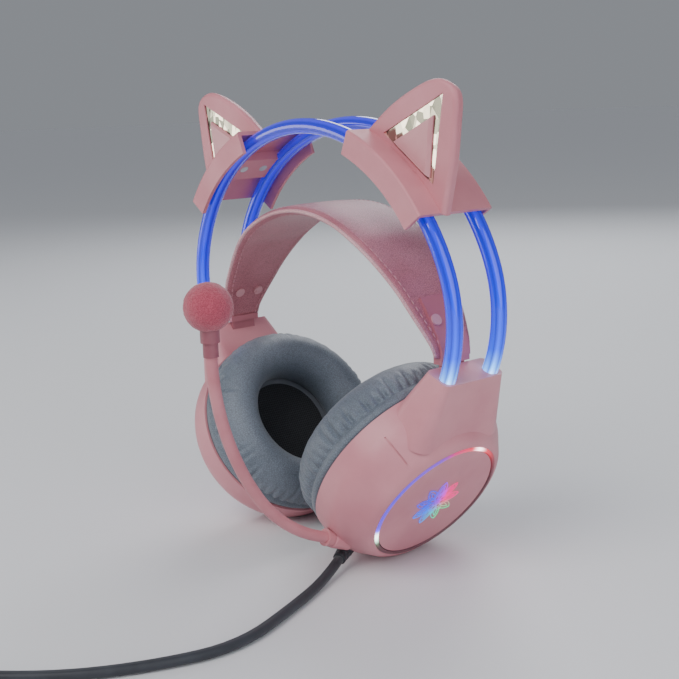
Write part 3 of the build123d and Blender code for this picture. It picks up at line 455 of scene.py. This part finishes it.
diaphragmFilm = mouldedAbs("pressedMylarDome", "#3B3F45", "#4A4F56", 0.25, 1.5 * mm)
pinkThread = spunThread("pinkPolyesterThread", "#C98993")
tieFabric = rubber("hookAndLoopTie", "#1C1D20", "#2A2B2F", 0.9)

for side in sides:
    paint(pinkShell, "cup_shell_" + side, "face_plate_" + side)
    paint(pinkTrim, "neck_cap_" + side, "cat_ear_" + side, "saddle_" + side, "saddle_clamp_" + side)
    paint(pinkInner, "ear_panel_" + side)
    paint(mirrorSkin, "ear_mirror_" + side)
    paint(ringLight, "ring_light_" + side)
    paint(boardGreen, "led_board_" + side)
    paint(greyInner, "baffle_" + side)
    paint(driverSteel, "driver_frame_" + side)
    paint(magnetFerrite, "driver_magnet_" + side)
    paint(diaphragmFilm, "driver_diaphragm_" + side)
    paint(speakerMesh, "speaker_cloth_" + side)
    paint(strapPlate, "strap_slider_" + side)
for which in ("front", "rear"):
    paint(tubeWall, "hoop_tube_" + which)
    paint(tubeCore, "hoop_light_core_" + which)
paint(screwSteel, "baffle_screws", "saddle_screws")
paint(rivetMetal, "strap_rivets")
paint(boomRubber, "mic_boom")
paint(capsuleShell, "mic_capsule", "volume_wheel", "mute_button")
paint(pinkTrim, "mic_socket")
paint(boardGreen, "control_board")
paint(tieFabric, "cord_tie")
paint(reliefRubber, "usb_plug_grip")
paint(plugMetal, "usb_plug_shell")
paint(plugTongue, "usb_plug_tongue")
print("materials made:", len(bpy.data.materials))


# cord, from the strain relief's tip to the plug
cordSettings = {
    "diameter": 0.0046,
    "route": [(0.0405, -0.00589, 0.0062), (0.047, -0.01959, 0.00235), (0.059, -0.04589, 0.00235),
              (0.0735, -0.08439, 0.00235), (0.064, -0.11739, 0.00235), (0.0455, -0.15039, 0.00235),
              (0.013, -0.18139, 0.00235)],
    "coilCentre": (0.0115, -0.22939),
    "coilStart": 126.87,                # degrees round the coil where the cord comes in
    "coilOuter": 0.0375,                # radius of the outer turn's middle
    "coilInner": 0.0145,
    "pointsPerTurn": 16,
    "low": 0.00235,
    "plugHeight": 0.0042,
    "plugBack": -0.26269,               # Y of the plug's rear face
    "grooveDepth": 0.16,                # share of the radius, on the top and underneath
    "grooveWidth": 0.30,                # radians
    "section": 18,
}


def coilPoints():
    # the lower layer winds inward, the upper one outward, so the cord never crosses itself
    s = cordSettings
    pitch = s["diameter"]
    windings = (s["coilOuter"] - s["coilInner"]) / pitch
    turns = 2 * windings + 1 + (180 - s["coilStart"]) / 360
    polygon = 1.0 + 0.5 * (pi / s["pointsPerTurn"]) ** 2      # control points lie just outside their circle
    points = []
    for i in range(int(turns * s["pointsPerTurn"]) + 1):
        done = i / s["pointsPerTurn"]
        radius = s["coilOuter"] - pitch * min(done, windings) + \
            pitch * max(0, min(done - windings - 1, windings))
        climb = min(1, max(0, (done - windings - 0.45) / 0.5))
        angle = radians(s["coilStart"]) + 2 * pi * done
        points.append((s["coilCentre"][0] + radius * polygon * cos(angle),
                       s["coilCentre"][1] + radius * polygon * sin(angle), s["low"] + climb * pitch))
    return points


def cordSpline():
    # the route's NURBS line, with no bevel
    s = cordSettings
    tailX = s["coilCentre"][0] - s["coilOuter"]
    tail = [(tailX, s["coilCentre"][1] - 0.008, s["low"] + s["diameter"]),
            (tailX, s["coilCentre"][1] - 0.018, s["plugHeight"] + 0.0012),
            (tailX, s["plugBack"] + 0.008, s["plugHeight"]),
            (tailX, s["plugBack"] - 0.002, s["plugHeight"])]
    points = s["route"] + coilPoints() + tail
    curve = bpy.data.curves.new("cordLine", "CURVE")
    curve.dimensions = "3D"
    curve.resolution_u = 6
    spline = curve.splines.new("NURBS")
    spline.points.add(len(points) - 1)
    for place, point in zip(points, spline.points):
        point.co = (*place, 1)
    spline.order_u = 3
    spline.use_endpoint_u = True
    line = bpy.data.objects.new("cordLine", curve)
    scene.collection.objects.link(line)
    mesh = bpy.data.meshes.new_from_object(line)
    path = [v.co.copy() for v in mesh.vertices]
    bpy.data.objects.remove(line)
    return path


def makeCord():
    # two bonded conductors under one jacket, so a shallow groove runs along it
    s = cordSettings
    path = cordSpline()
    path = [p for i, p in enumerate(path) if i == 0 or (p - path[i - 1]).length > 1e-6]
    length = sum((b - a).length for a, b in zip(path, path[1:]))
    rows = []
    for i, point in enumerate(path):
        along = (path[min(i + 1, len(path) - 1)] - path[max(i - 1, 0)]).normalized()
        across = along.cross(Vector((0, 0, 1))).normalized()
        up = across.cross(along)
        row = []
        for k in range(s["section"]):
            angle = 2 * pi * k / s["section"]
            offTop = abs(abs(((angle + pi) % (2 * pi)) - pi) - pi / 2)
            radius = s["diameter"] / 2 * (1 - s["grooveDepth"] * exp(-(offTop / s["grooveWidth"]) ** 2))
            row.append(point + across * radius * cos(angle) + up * radius * sin(angle))
        rows.append(row)
    points = [p for row in rows for p in row]
    faces = ringGrid(rows)
    faces += [tuple(range(s["section"]))[::-1], tuple(range(len(points) - s["section"], len(points)))]
    cord = meshPiece("cord", points, faces)
    turnFacesOut(cord)
    finishPiece(cord, "headset", cordJacket, ("cord_run", "cord_coil", "cord_tail"))
    return cord, path, length


reliefSettings = {
    "length": 0.016,
    "baseRadius": 0.0043,
    "tipRadius": 0.0030,
    "ribs": 5,
    "ribDepth": 0.00045,
    "ribSpan": (0.12, 0.97),            # share of the length that carries the grooves
    "steps": 60,
    "segments": 28,
}


def makeRelief():
    # moulded boot: a tapering sleeve with grooves that let it bend
    s = reliefSettings
    tip = Vector(cordSettings["route"][0])
    along = (Vector(cordSettings["route"][1]) - tip).normalized()
    across = along.cross(Vector((0, 0, 1))).normalized()
    up = across.cross(along)
    rows = []
    n, steps = s["segments"], s["steps"]
    for i in range(steps + 1):
        share = i / steps
        radius = s["baseRadius"] + (s["tipRadius"] - s["baseRadius"]) * share
        ribbed = s["ribSpan"][0] < share < s["ribSpan"][1]
        rib = max(0.0, sin(share * s["ribs"] * 2 * pi)) if ribbed else 0.0
        radius -= s["ribDepth"] * min(1.0, 2.2 * rib)
        if i in (0, steps):
            radius *= 0.9
        centre = tip - along * s["length"] * (1 - share)
        rows.append([centre + across * radius * cos(2 * pi * k / n) + up * radius * sin(2 * pi * k / n)
                     for k in range(n)])
    points = [p for row in rows for p in row]
    faces = ringGrid(rows) + [tuple(range(n))[::-1], tuple(range(len(points) - n, len(points)))]
    relief = meshPiece("strain_boot", points, faces)
    turnFacesOut(relief)
    return finishPiece(relief, "headset", reliefRubber, ("strain_relief",))


cord, cordPath, cordLength = makeCord()
boot = makeRelief()
print("cord laid:", round(cordLength, 3), "m")


# ear cushions
cushionSettings = {
    "rimDepth": 0.0277,                 # the cup rim, inward from the outer face
    "height": 0.0262,
    "outer": 0.0468,
    "hole": 0.0242,
    "segments": 372,
    "pleats": 62,
    "pleatDepth": 0.0013,
    "welt": 0.0058,                     # height of the smooth band under the gathers
    "seamDepth": 0.0005,
    "wrinkleDepth": 0.00035,
    "holeEdge": 0.0256,                 # the cover inside this radius is held back as it swells
    "cap": 0.0035,                      # furthest that the sewn cover may swell
    "frames": 20,
    "seed": 7,
}

clothSettings = {"quality": 5, "mass": 0.2, "tension_stiffness": 18, "compression_stiffness": 18,
                 "bending_stiffness": 0.6, "use_pressure": True, "uniform_pressure_force": 4,
                 "vertex_group_mass": "held"}


def cushionSection(s):
    # closed outline (radius, height above the rim): base, outer wall, roll and hole
    base = [(s["hole"] + 0.0020, 0.0003), (0.0300, 0.0002), (0.0360, 0.0002), (0.0415, 0.0002)]
    wall = [(0.0013, 0.0002), (0.0002, 0.0011), (-0.0002, 0.0026), (0.0, 0.0043), (0.0010, s["welt"]),
            (0.0003, 0.0072), (0.0, 0.0092), (0.0001, 0.0115), (0.0005, 0.0138), (0.0012, 0.0160), (0.0023, 0.0182),
            (0.0038, 0.0203), (0.0057, 0.0221), (0.0080, 0.0236), (0.0104, 0.0243)]      # inset from the outside
    roll = [(0.0340, 0.0243), (0.0318, 0.0237), (0.0297, 0.0224), (0.0278, 0.0206), (0.0262, 0.0183),
            (0.0251, 0.0156), (0.0244, 0.0126), (s["hole"], 0.0096), (0.0244, 0.0064), (0.0250, 0.0032)]
    return base + [(s["outer"] - inset, height) for inset, height in wall] + roll


def smoothShare(low, high, value):
    share = min(1.0, max(0.0, (value - low) / (high - low)))
    return share * share * (3 - 2 * share)


def makeCushion():
    # one cover is sewn, inflated as cloth, and then gathered; the other is its mirror image
    s = cushionSettings
    random.seed(s["seed"])
    outline = cushionSection(s)
    wanders = [random.uniform(-0.28, 0.28) for _ in range(s["pleats"])]
    depths = [random.uniform(0.4, 1.25) for _ in range(s["pleats"])]
    reaches = [random.uniform(0.6, 1.25) for _ in range(s["pleats"])]
    rows = []
    for k in range(s["segments"]):
        angle = 2 * pi * k / s["segments"]
        rows.append([inCup(radius, angle, s["rimDepth"] + height) for radius, height in outline])
    points = [p for row in rows for p in row]
    cover = meshPiece("cushion_cover", points, ringGrid(rows, closedRows=True))
    turnFacesOut(cover)
    held = cover.vertex_groups.new(name="held")
    for vertex in cover.data.vertices:
        height = -(vertex.co - cupOrigin).dot(cupOut) - s["rimDepth"]
        radial = (vertex.co - cupOrigin) + cupOut * (height + s["rimDepth"])
        if height < 0.0012 or abs(height - s["welt"]) < 0.0004:
            held.add([vertex.index], 1.0, "REPLACE")
        elif height < s["welt"]:
            held.add([vertex.index], 0.6, "REPLACE")
        elif radial.length < s["holeEdge"]:
            held.add([vertex.index], 0.35, "REPLACE")
    before = [v.co.copy() for v in cover.data.vertices]
    cloth = cover.modifiers.new("cloth", "CLOTH")
    for name, value in clothSettings.items():
        setattr(cloth.settings, name, value)
    cloth.settings.effector_weights.gravity = 0
    cloth.point_cache.frame_start = 1
    cloth.point_cache.frame_end = s["frames"]
    for frameNumber in range(1, s["frames"] + 1):
        scene.frame_set(frameNumber)
    swollen = cover.evaluated_get(bpy.context.evaluated_depsgraph_get()).to_mesh()
    after = [v.co.copy() for v in swollen.vertices]
    cover.modifiers.remove(cloth)
    scene.frame_set(1)
    for vertex, old, new in zip(cover.data.vertices, before, after):
        move = new - old
        if move.length > s["cap"]:
            move *= s["cap"] / move.length
        vertex.co = old + move
    smooth = cover.modifiers.new("finer", "SUBSURF")
    smooth.levels = smooth.render_levels = 1
    finer = bpy.data.meshes.new_from_object(cover.evaluated_get(bpy.context.evaluated_depsgraph_get()))
    cover.modifiers.clear()
    cover.vertex_groups.clear()
    cover.data = finer
    # gathers: sharp valleys that start at the welt's seam and fade out up the wall
    for vertex in cover.data.vertices:
        rel = vertex.co - cupOrigin
        height = -rel.dot(cupOut) - s["rimDepth"]
        flat = rel + cupOut * (height + s["rimDepth"])
        radius = flat.length
        angle = atan2(flat.dot(cupFront), flat.dot(cupUp)) % (2 * pi)
        if radius < 0.030:
            continue
        place = angle / (2 * pi) * s["pleats"]
        number = int(place + 0.5) % s["pleats"]
        off = abs((place - round(place)) - wanders[number] * min(1.0, max(0.0, height / 0.02)) * 0.6)
        valley = exp(-(off / 0.22) ** 2) - 0.3 * exp(-((off - 0.45) / 0.2) ** 2)
        fade = smoothShare(s["welt"] - 0.0002, s["welt"] + 0.0012, height) * \
            (1 - smoothShare(0.010 * reaches[number], 0.0235 * reaches[number], height)) * \
            smoothShare(0.036, 0.043, radius)
        seam = exp(-((height - s["welt"]) / 0.0007) ** 2) * smoothShare(0.040, 0.044, radius)
        wrinkle = noise.noise(Vector((cos(angle) * 9, sin(angle) * 9, height * 320))) * s["wrinkleDepth"] * \
            smoothShare(0.008, 0.02, height)
        move = -s["pleatDepth"] * depths[number] * valley * fade - s["seamDepth"] * seam + wrinkle
        vertex.co += flat.normalized() * move
    cover.data.polygons.foreach_set("use_smooth", [True] * len(cover.data.polygons))
    return cover


def mirrored(piece, name):
    copyMesh = piece.data.copy()
    copyMesh.transform(Matrix.Scale(-1, 4, (1, 0, 0)))
    copyMesh.flip_normals()
    twin = bpy.data.objects.new(name, copyMesh)
    scene.collection.objects.link(twin)
    return twin


cushionLeft = makeCushion()
cushionLeft.name = "cushion_cover_left"
cushionRight = mirrored(cushionLeft, "cushion_cover_right")
for side, cushion in (("left", cushionLeft), ("right", cushionRight)):
    finishPiece(cushion, "headset", greyLeather, ("ear_cushion_" + side,))
print("ear cushions inflated")


# microphone foam
foamSettings = {"radius": 0.0101, "pore": 0.0009, "roughness": 0.00035, "levels": 5}


def makeFoam():
    # a ball of open-cell foam, its skin torn into small pits
    s = foamSettings
    low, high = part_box("mic_foam")
    centre = (low + high) / 2
    ball = bmesh.new()
    bmesh.ops.create_icosphere(ball, subdivisions=s["levels"] + 1, radius=s["radius"])
    for vertex in ball.verts:
        way = vertex.co.normalized()
        pits = noise.cell_vector(vertex.co / s["pore"]).x - 0.5
        lumps = noise.noise(vertex.co / (s["pore"] * 2.2))
        tooth = noise.noise(vertex.co / (s["pore"] * 0.6))
        vertex.co += way * s["roughness"] * (0.55 * tooth + 0.45 * lumps + 0.15 * pits)
        vertex.co += centre
    mesh = bpy.data.meshes.new("foam_ball")
    ball.to_mesh(mesh)
    ball.free()
    mesh.polygons.foreach_set("use_smooth", [True] * len(mesh.polygons))
    piece = bpy.data.objects.new("foam_ball", mesh)
    scene.collection.objects.link(piece)
    finishPiece(piece, "microphone", foamSkin, ("mic_foam",))
    return piece


makeFoam()
print("foam ball made")


# suspension strap
strapSettings = {
    "top": 0.16265,
    "arcs": ((0.076, 43.0), (0.130, 19.0), (0.012, 28.0)),     # radius and turn, from the top down
    "tail": 0.0008,
    "thickness": 0.0032,
    "crown": 0.0011,                    # how much the padding stands up in the middle
    # half width against the drop from the top
    "halfWidths": ((0.0, 0.0228), (0.010, 0.0226), (0.0373, 0.0166), (0.0635, 0.0100)),
    "stepsPerSide": 120,
    "pointsAcross": 26,
    "turnedEdge": 0.08,                 # share of the half width that rounds over at each edge
    "pipingRadius": 0.0006,
    "pipingInset": 0.0008,
    "stitchInset": 0.0034,
    "stitchLift": 0.00042,              # above the band's face
    "stitchPitch": 0.0034,
    "stitchLength": 0.0025,
    "threadRadius": 0.00028,
}


def strapLine(distance):
    # point and outward direction on the strap's middle line, at a distance from the top along it
    s = strapSettings
    x, z, turn = 0.0, s["top"], 0.0
    left = abs(distance)
    for radius, degreesTurned in s["arcs"]:
        here = min(radians(degreesTurned), left / radius)
        x += radius * (sin(turn + here) - sin(turn))
        z += radius * (cos(turn + here) - cos(turn))
        turn += here
        left -= here * radius
        if left <= 1e-9:
            break
    z -= max(0.0, left)
    side = 1 if distance >= 0 else -1
    low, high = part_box("strap")
    return Vector((x * side, low.y * 0.5 + high.y * 0.5, z)), Vector((sin(turn) * side, 0, cos(turn)))


def strapHalfWidth(z):
    s = strapSettings
    drop = s["top"] - z
    table = s["halfWidths"]
    for (d0, w0), (d1, w1) in zip(table, table[1:]):
        if drop <= d1:
            share = max(0.0, (drop - d0) / (d1 - d0))
            return w0 + (w1 - w0) * share * share * (3 - 2 * share) * 0.35 + (w1 - w0) * share * 0.65
    return table[-1][1]


def strapLength():
    return sum(radius * radians(turn) for radius, turn in strapSettings["arcs"]) + strapSettings["tail"]


def strapEdge(v):
    # share of the thickness that is left at v, where -1 and 1 are the band's edges
    turned = strapSettings["turnedEdge"]
    return sqrt(max(0.0, 1 - max(0.0, (abs(v) - (1 - turned)) / turned) ** 2)) * 0.75 + 0.25


def makeStrap():
    # leatherette over a foam core: crowned on both faces, turned over at the edges
    s = strapSettings
    half = strapLength()
    across = s["pointsAcross"]
    rows = []
    for i in range(-s["stepsPerSide"], s["stepsPerSide"] + 1):
        distance = half * i / s["stepsPerSide"]
        centre, out = strapLine(distance)
        width = strapHalfWidth(centre.z) - s["pipingRadius"] * 0.6
        puff = s["crown"] * (1 - smoothShare(0.40, 0.52, abs(distance) / half))
        row = []
        for face, share in ((1, 1.0), (-1, 0.8)):       # the upper face, then back along the lower one
            for k in range(across):
                v = face * (-1 + 2 * k / (across - 1))
                bulge = (1 - v ** 4) * puff * share
                edge = strapEdge(v)
                row.append(centre + out * (face * (s["thickness"] / 2 * edge + bulge)) + Vector((0, v * width, 0)))
        rows.append(row)
    points = [p for row in rows for p in row]
    n = len(rows[0])
    faces = ringGrid(rows) + [tuple(range(n))[::-1], tuple(range(len(points) - n, len(points)))]
    strap = meshPiece("strap_padding", points, faces)
    turnFacesOut(strap)
    finishPiece(strap, "suspension_strap", pinkLeather, ("strap",))
    return strap


def edgeLine(side, inset, lift):
    # a line along the strap, inset from one edge and lifted off its middle
    s = strapSettings
    half = strapLength()
    line = []
    for i in range(-s["stepsPerSide"], s["stepsPerSide"] + 1):
        distance = half * i / s["stepsPerSide"] * 0.995
        centre, out = strapLine(distance)
        width = strapHalfWidth(centre.z) - inset
        line.append(centre + out * lift + Vector((0, side * width, 0)))
    return line


def tubeAlong(name, path, radius, segments=10):
    rows = []
    for i, point in enumerate(path):
        along = (path[min(i + 1, len(path) - 1)] - path[max(i - 1, 0)]).normalized()
        across = along.cross(Vector((0, 1, 0))).normalized()
        up = across.cross(along)
        rows.append([point + across * radius * cos(2 * pi * k / segments) + up * radius * sin(2 * pi * k / segments)
                     for k in range(segments)])
    points = [p for row in rows for p in row]
    faces = ringGrid(rows)
    faces += [tuple(range(segments))[::-1], tuple(range(len(points) - segments, len(points)))]
    piece = meshPiece(name, points, faces)
    turnFacesOut(piece)
    return piece


strap = makeStrap()
for name, side in (("front", -1), ("rear", 1)):
    piping = tubeAlong("strap_piping_" + name, edgeLine(side, strapSettings["pipingInset"], 0.0),
                       strapSettings["pipingRadius"] + 0.0003)
    finishPiece(piping, "suspension_strap", pipingSkin)
print("strap made")


# stitches: one Geometry Nodes tree lays thread along any line
def stitchTree():
    tree = bpy.data.node_groups.new("stitchesAlongLine", "GeometryNodeTree")
    face = tree.interface
    face.new_socket(name="Geometry", in_out="INPUT", socket_type="NodeSocketGeometry")
    for label, default in (("Pitch", 0.003), ("Stitch Length", 0.0022), ("Thread Radius", 0.0003)):
        socket = face.new_socket(name=label, in_out="INPUT", socket_type="NodeSocketFloat")
        socket.default_value = default
    face.new_socket(name="Thread", in_out="INPUT", socket_type="NodeSocketMaterial")
    face.new_socket(name="Geometry", in_out="OUTPUT", socket_type="NodeSocketGeometry")
    given = addNode(tree, "NodeGroupInput")
    line = addNode(tree, "GeometryNodeMeshToCurve", links={"Mesh": given.outputs["Geometry"]})
    spaced = addNode(tree, "GeometryNodeResampleCurve", {"mode": "LENGTH"},
                     {"Curve": line.outputs[0], "Length": given.outputs["Pitch"]})
    ball = addNode(tree, "GeometryNodeMeshUVSphere", {"Segments": 8, "Rings": 6, "Radius": 1.0})
    tangent = addNode(tree, "GeometryNodeInputTangent")
    turned = addNode(tree, "FunctionNodeAlignRotationToVector", {"axis": "Z"}, {"Vector": tangent.outputs[0]})
    halfLength = addNode(tree, "ShaderNodeMath", {"operation": "MULTIPLY", 1: 0.5},
                         {0: given.outputs["Stitch Length"]})
    size = addNode(tree, "ShaderNodeCombineXYZ", links={
        0: given.outputs["Thread Radius"], 1: given.outputs["Thread Radius"], 2: halfLength.outputs[0]})
    laid = addNode(tree, "GeometryNodeInstanceOnPoints", links={
        "Points": spaced.outputs[0], "Instance": ball.outputs[0], "Rotation": turned.outputs[0],
        "Scale": size.outputs[0]})
    real = addNode(tree, "GeometryNodeRealizeInstances", links={0: laid.outputs[0]})
    smooth = addNode(tree, "GeometryNodeSetShadeSmooth", links={0: real.outputs[0]})
    dressed = addNode(tree, "GeometryNodeSetMaterial",
                      links={"Geometry": smooth.outputs[0], "Material": given.outputs["Thread"]})
    addNode(tree, "NodeGroupOutput", links={0: dressed.outputs[0]})
    return tree


def plainFrom(name, source, tree, values):
    # runs a tree on an object and keeps the result as a plain mesh
    modifier = source.modifiers.new("made", "NODES")
    modifier.node_group = tree
    for item in tree.interface.items_tree:
        if item.item_type == "SOCKET" and item.in_out == "INPUT" and item.name in values:
            modifier[item.identifier] = values[item.name]
    mesh = bpy.data.meshes.new_from_object(source.evaluated_get(bpy.context.evaluated_depsgraph_get()))
    bpy.data.objects.remove(source)
    mesh.name = name
    piece = bpy.data.objects.new(name, mesh)
    scene.collection.objects.link(piece)
    return piece


def lineObject(lines, closed=False):
    points, edges = [], []
    for line in lines:
        start = len(points)
        points += [tuple(p) for p in line]
        edges += [(start + i, start + i + 1) for i in range(len(line) - 1)]
        if closed:
            edges.append((start + len(line) - 1, start))
    mesh = bpy.data.meshes.new("lines")
    mesh.from_pydata(points, edges, [])
    piece = bpy.data.objects.new("lines", mesh)
    scene.collection.objects.link(piece)
    return piece


stitches = stitchTree()
stitchHeight = strapSettings["thickness"] / 2 + strapSettings["stitchLift"]
strapLines = [edgeLine(side, strapSettings["stitchInset"], face * stitchHeight)
              for side in (-1, 1) for face in (-1, 1)]
strapStitches = plainFrom("strap_stitches", lineObject(strapLines), stitches, {
    "Pitch": strapSettings["stitchPitch"], "Stitch Length": strapSettings["stitchLength"],
    "Thread Radius": strapSettings["threadRadius"], "Thread": pinkThread})
finishPiece(strapStitches, "suspension_strap")
print("stitches laid")


# glowing flower on the face plates
rosetteSettings = {
    "lineRadius": 0.00018,
    "lift": 0.0004,                     # off the plate's face
    # petals, start, reach and breadth of each ring, and its turn in radians
    "rings": ((9, 0.0040, 0.0132, 0.0030, 0.0), (9, 0.0020, 0.0080, 0.0022, pi / 9),
              (9, 0.0052, 0.0132 * 0.82, 0.0012, 0.0), (5, 0.0002, 0.0022, 0.0010, 0.3)),
}


def petalTree():
    # a ring of petals drawn with one line each
    tree = bpy.data.node_groups.new("petalLines", "GeometryNodeTree")
    face = tree.interface
    face.new_socket(name="Geometry", in_out="INPUT", socket_type="NodeSocketGeometry")
    face.new_socket(name="Petals", in_out="INPUT", socket_type="NodeSocketInt").default_value = 8
    for label, default in (("Start", 0.002), ("Reach", 0.01), ("Breadth", 0.003), ("Line Radius", 0.0003),
                           ("Turn", 0.0)):
        face.new_socket(name=label, in_out="INPUT", socket_type="NodeSocketFloat").default_value = default
    face.new_socket(name="Glow", in_out="INPUT", socket_type="NodeSocketMaterial")
    face.new_socket(name="Geometry", in_out="OUTPUT", socket_type="NodeSocketGeometry")
    given = addNode(tree, "NodeGroupInput")
    start = addNode(tree, "ShaderNodeCombineXYZ", links={0: given.outputs["Start"]})
    end = addNode(tree, "ShaderNodeCombineXYZ", links={0: given.outputs["Reach"]})
    halves = []
    for sign in (1.0, -1.0):
        breadth = addNode(tree, "ShaderNodeMath", {"operation": "MULTIPLY", 1: sign}, {0: given.outputs["Breadth"]})
        near = addNode(tree, "ShaderNodeMath", {"operation": "MULTIPLY", 1: 0.35}, {0: given.outputs["Reach"]})
        far = addNode(tree, "ShaderNodeMath", {"operation": "MULTIPLY", 1: 0.8}, {0: given.outputs["Reach"]})
        first = addNode(tree, "ShaderNodeCombineXYZ", links={0: near.outputs[0], 1: breadth.outputs[0]})
        second = addNode(tree, "ShaderNodeCombineXYZ", links={0: far.outputs[0], 1: breadth.outputs[0]})
        halves.append(addNode(tree, "GeometryNodeCurvePrimitiveBezierSegment", {"Resolution": 12}, {
            "Start": start.outputs[0], "Start Handle": first.outputs[0], "End Handle": second.outputs[0],
            "End": end.outputs[0]}))
    petal = addNode(tree, "GeometryNodeJoinGeometry")
    for half in halves:
        tree.links.new(half.outputs[0], petal.inputs[0])
    dots = addNode(tree, "GeometryNodePoints", links={"Count": given.outputs["Petals"]})
    index = addNode(tree, "GeometryNodeInputIndex")
    share = addNode(tree, "ShaderNodeMath", {"operation": "DIVIDE"}, {0: index.outputs[0], 1: given.outputs["Petals"]})
    angle = addNode(tree, "ShaderNodeMath", {"operation": "MULTIPLY_ADD", 1: 2 * pi},
                    {0: share.outputs[0], 2: given.outputs["Turn"]})
    spin = addNode(tree, "ShaderNodeCombineXYZ", links={2: angle.outputs[0]})
    laid = addNode(tree, "GeometryNodeInstanceOnPoints",
                   links={"Points": dots.outputs[0], "Instance": petal.outputs[0], "Rotation": spin.outputs[0]})
    real = addNode(tree, "GeometryNodeRealizeInstances", links={0: laid.outputs[0]})
    profile = addNode(tree, "GeometryNodeCurvePrimitiveCircle", {"Resolution": 6},
                      {"Radius": given.outputs["Line Radius"]})
    line = addNode(tree, "GeometryNodeCurveToMesh", {"Fill Caps": True}, {0: real.outputs[0], 1: profile.outputs[0]})
    dressed = addNode(tree, "GeometryNodeSetMaterial",
                      links={"Geometry": line.outputs[0], "Material": given.outputs["Glow"]})
    addNode(tree, "NodeGroupOutput", links={0: dressed.outputs[0]})
    return tree


def makeRosette():
    s = rosetteSettings
    tree = petalTree()
    parts = []
    for number, (petals, start, reach, breadth, turn) in enumerate(s["rings"]):
        parts.append(plainFrom("petals%d" % number, lineObject([[(0, 0, 0), (0, 0, 0.001)]]), tree, {
            "Petals": petals, "Start": start, "Reach": reach, "Breadth": breadth, "Turn": turn,
            "Line Radius": s["lineRadius"], "Glow": emblemLight}))
    joined = bmesh.new()
    for part in parts:
        joined.from_mesh(part.data)
        bpy.data.objects.remove(part)
    place = Matrix((cupUp, cupFront, cupOut)).transposed().to_4x4()
    joined.transform(Matrix.Translation(cupOrigin + cupOut * s["lift"]) @ place)
    mesh = bpy.data.meshes.new("flower_lines_left")
    joined.to_mesh(mesh)
    joined.free()
    mesh.materials.append(emblemLight)
    mesh.polygons.foreach_set("use_smooth", [True] * len(mesh.polygons))
    flower = bpy.data.objects.new("flower_lines_left", mesh)
    scene.collection.objects.link(flower)
    return flower


flowerLeft = makeRosette()
flowerRight = mirrored(flowerLeft, "flower_lines_right")
for side, flower in (("left", flowerLeft), ("right", flowerRight)):
    finishPiece(flower, "headset", None, ("emblem_light_" + side,))
print("flowers drawn")


# studio
studioSettings = {
    "floorHalf": 30.0,
    "floorDrop": 0.0002,                # keeps the floor just under the headset
    "floorColour": "#E6E7EA",
    "worldColour": "#CBD0D8",
    "worldStrength": 0.42,
    "skyPower": 0.25,
    "aim": (0, 0.03, 0.1),              # what the lights look at
    "lights": {
        "key": {"place": (0.15, -1.1, 1.25), "size": 1.1, "power": 14.0, "colour": (1.0, 0.98, 0.96)},
        "fill": {"place": (1.2, -0.25, 0.55), "size": 1.2, "power": 7.0, "colour": (0.94, 0.96, 1.0)},
        "rim": {"place": (-0.7, 1.0, 0.95), "size": 0.9, "power": 9.0, "colour": (0.95, 0.97, 1.0)},
        "low": {"place": (-0.75, -0.62, 0.14), "size": 0.5, "power": 2.2, "colour": (1.0, 0.97, 0.92)},
    },
}


def makeStudio():
    s = studioSettings
    size = s["floorHalf"]
    corners = [(-size, -size, 0), (size, -size, 0), (size, size, 0), (-size, size, 0)]
    floor = meshPiece("floor", corners, [(0, 1, 2, 3)], False)
    floor.location.z = -s["floorDrop"]
    material, tree = newTree("palePaperFloor")
    place = objectPlace(tree)
    bump = grain(tree, place, 1.5 * mm, 0.05 * mm, 0.25)
    closeTree(tree, {"Roughness": 0.55, "Specular IOR Level": 0.3, "Base Color": linear(s["floorColour"])},
              {"Normal": bump.outputs[0]})
    setMaterial(floor, material)
    world = bpy.data.worlds.new("studio")
    world.use_nodes = True
    world.node_tree.nodes["Background"].inputs[0].default_value = linear(s["worldColour"])
    world.node_tree.nodes["Background"].inputs[1].default_value = s["worldStrength"]
    scene.world = world
    # a weak sun keeps the far floor as bright as the world, so that no horizon shows
    sun = bpy.data.objects.new("sky", bpy.data.lights.new("sky", "SUN"))
    sun.data.energy, sun.data.angle = s["skyPower"], radians(60)
    sun.rotation_euler = (radians(35), 0, radians(10))
    scene.collection.objects.link(sun)
    for name, light in s["lights"].items():
        data = bpy.data.lights.new(name, "AREA")
        data.shape = "DISK"
        data.size, data.energy, data.color = light["size"], light["power"], light["colour"]
        lamp = bpy.data.objects.new(name, data)
        scene.collection.objects.link(lamp)
        lamp.location = light["place"]
        lamp.rotation_euler = (Vector(s["aim"]) - lamp.location).to_track_quat("-Z", "Y").to_euler()


makeStudio()
print("studio lit")
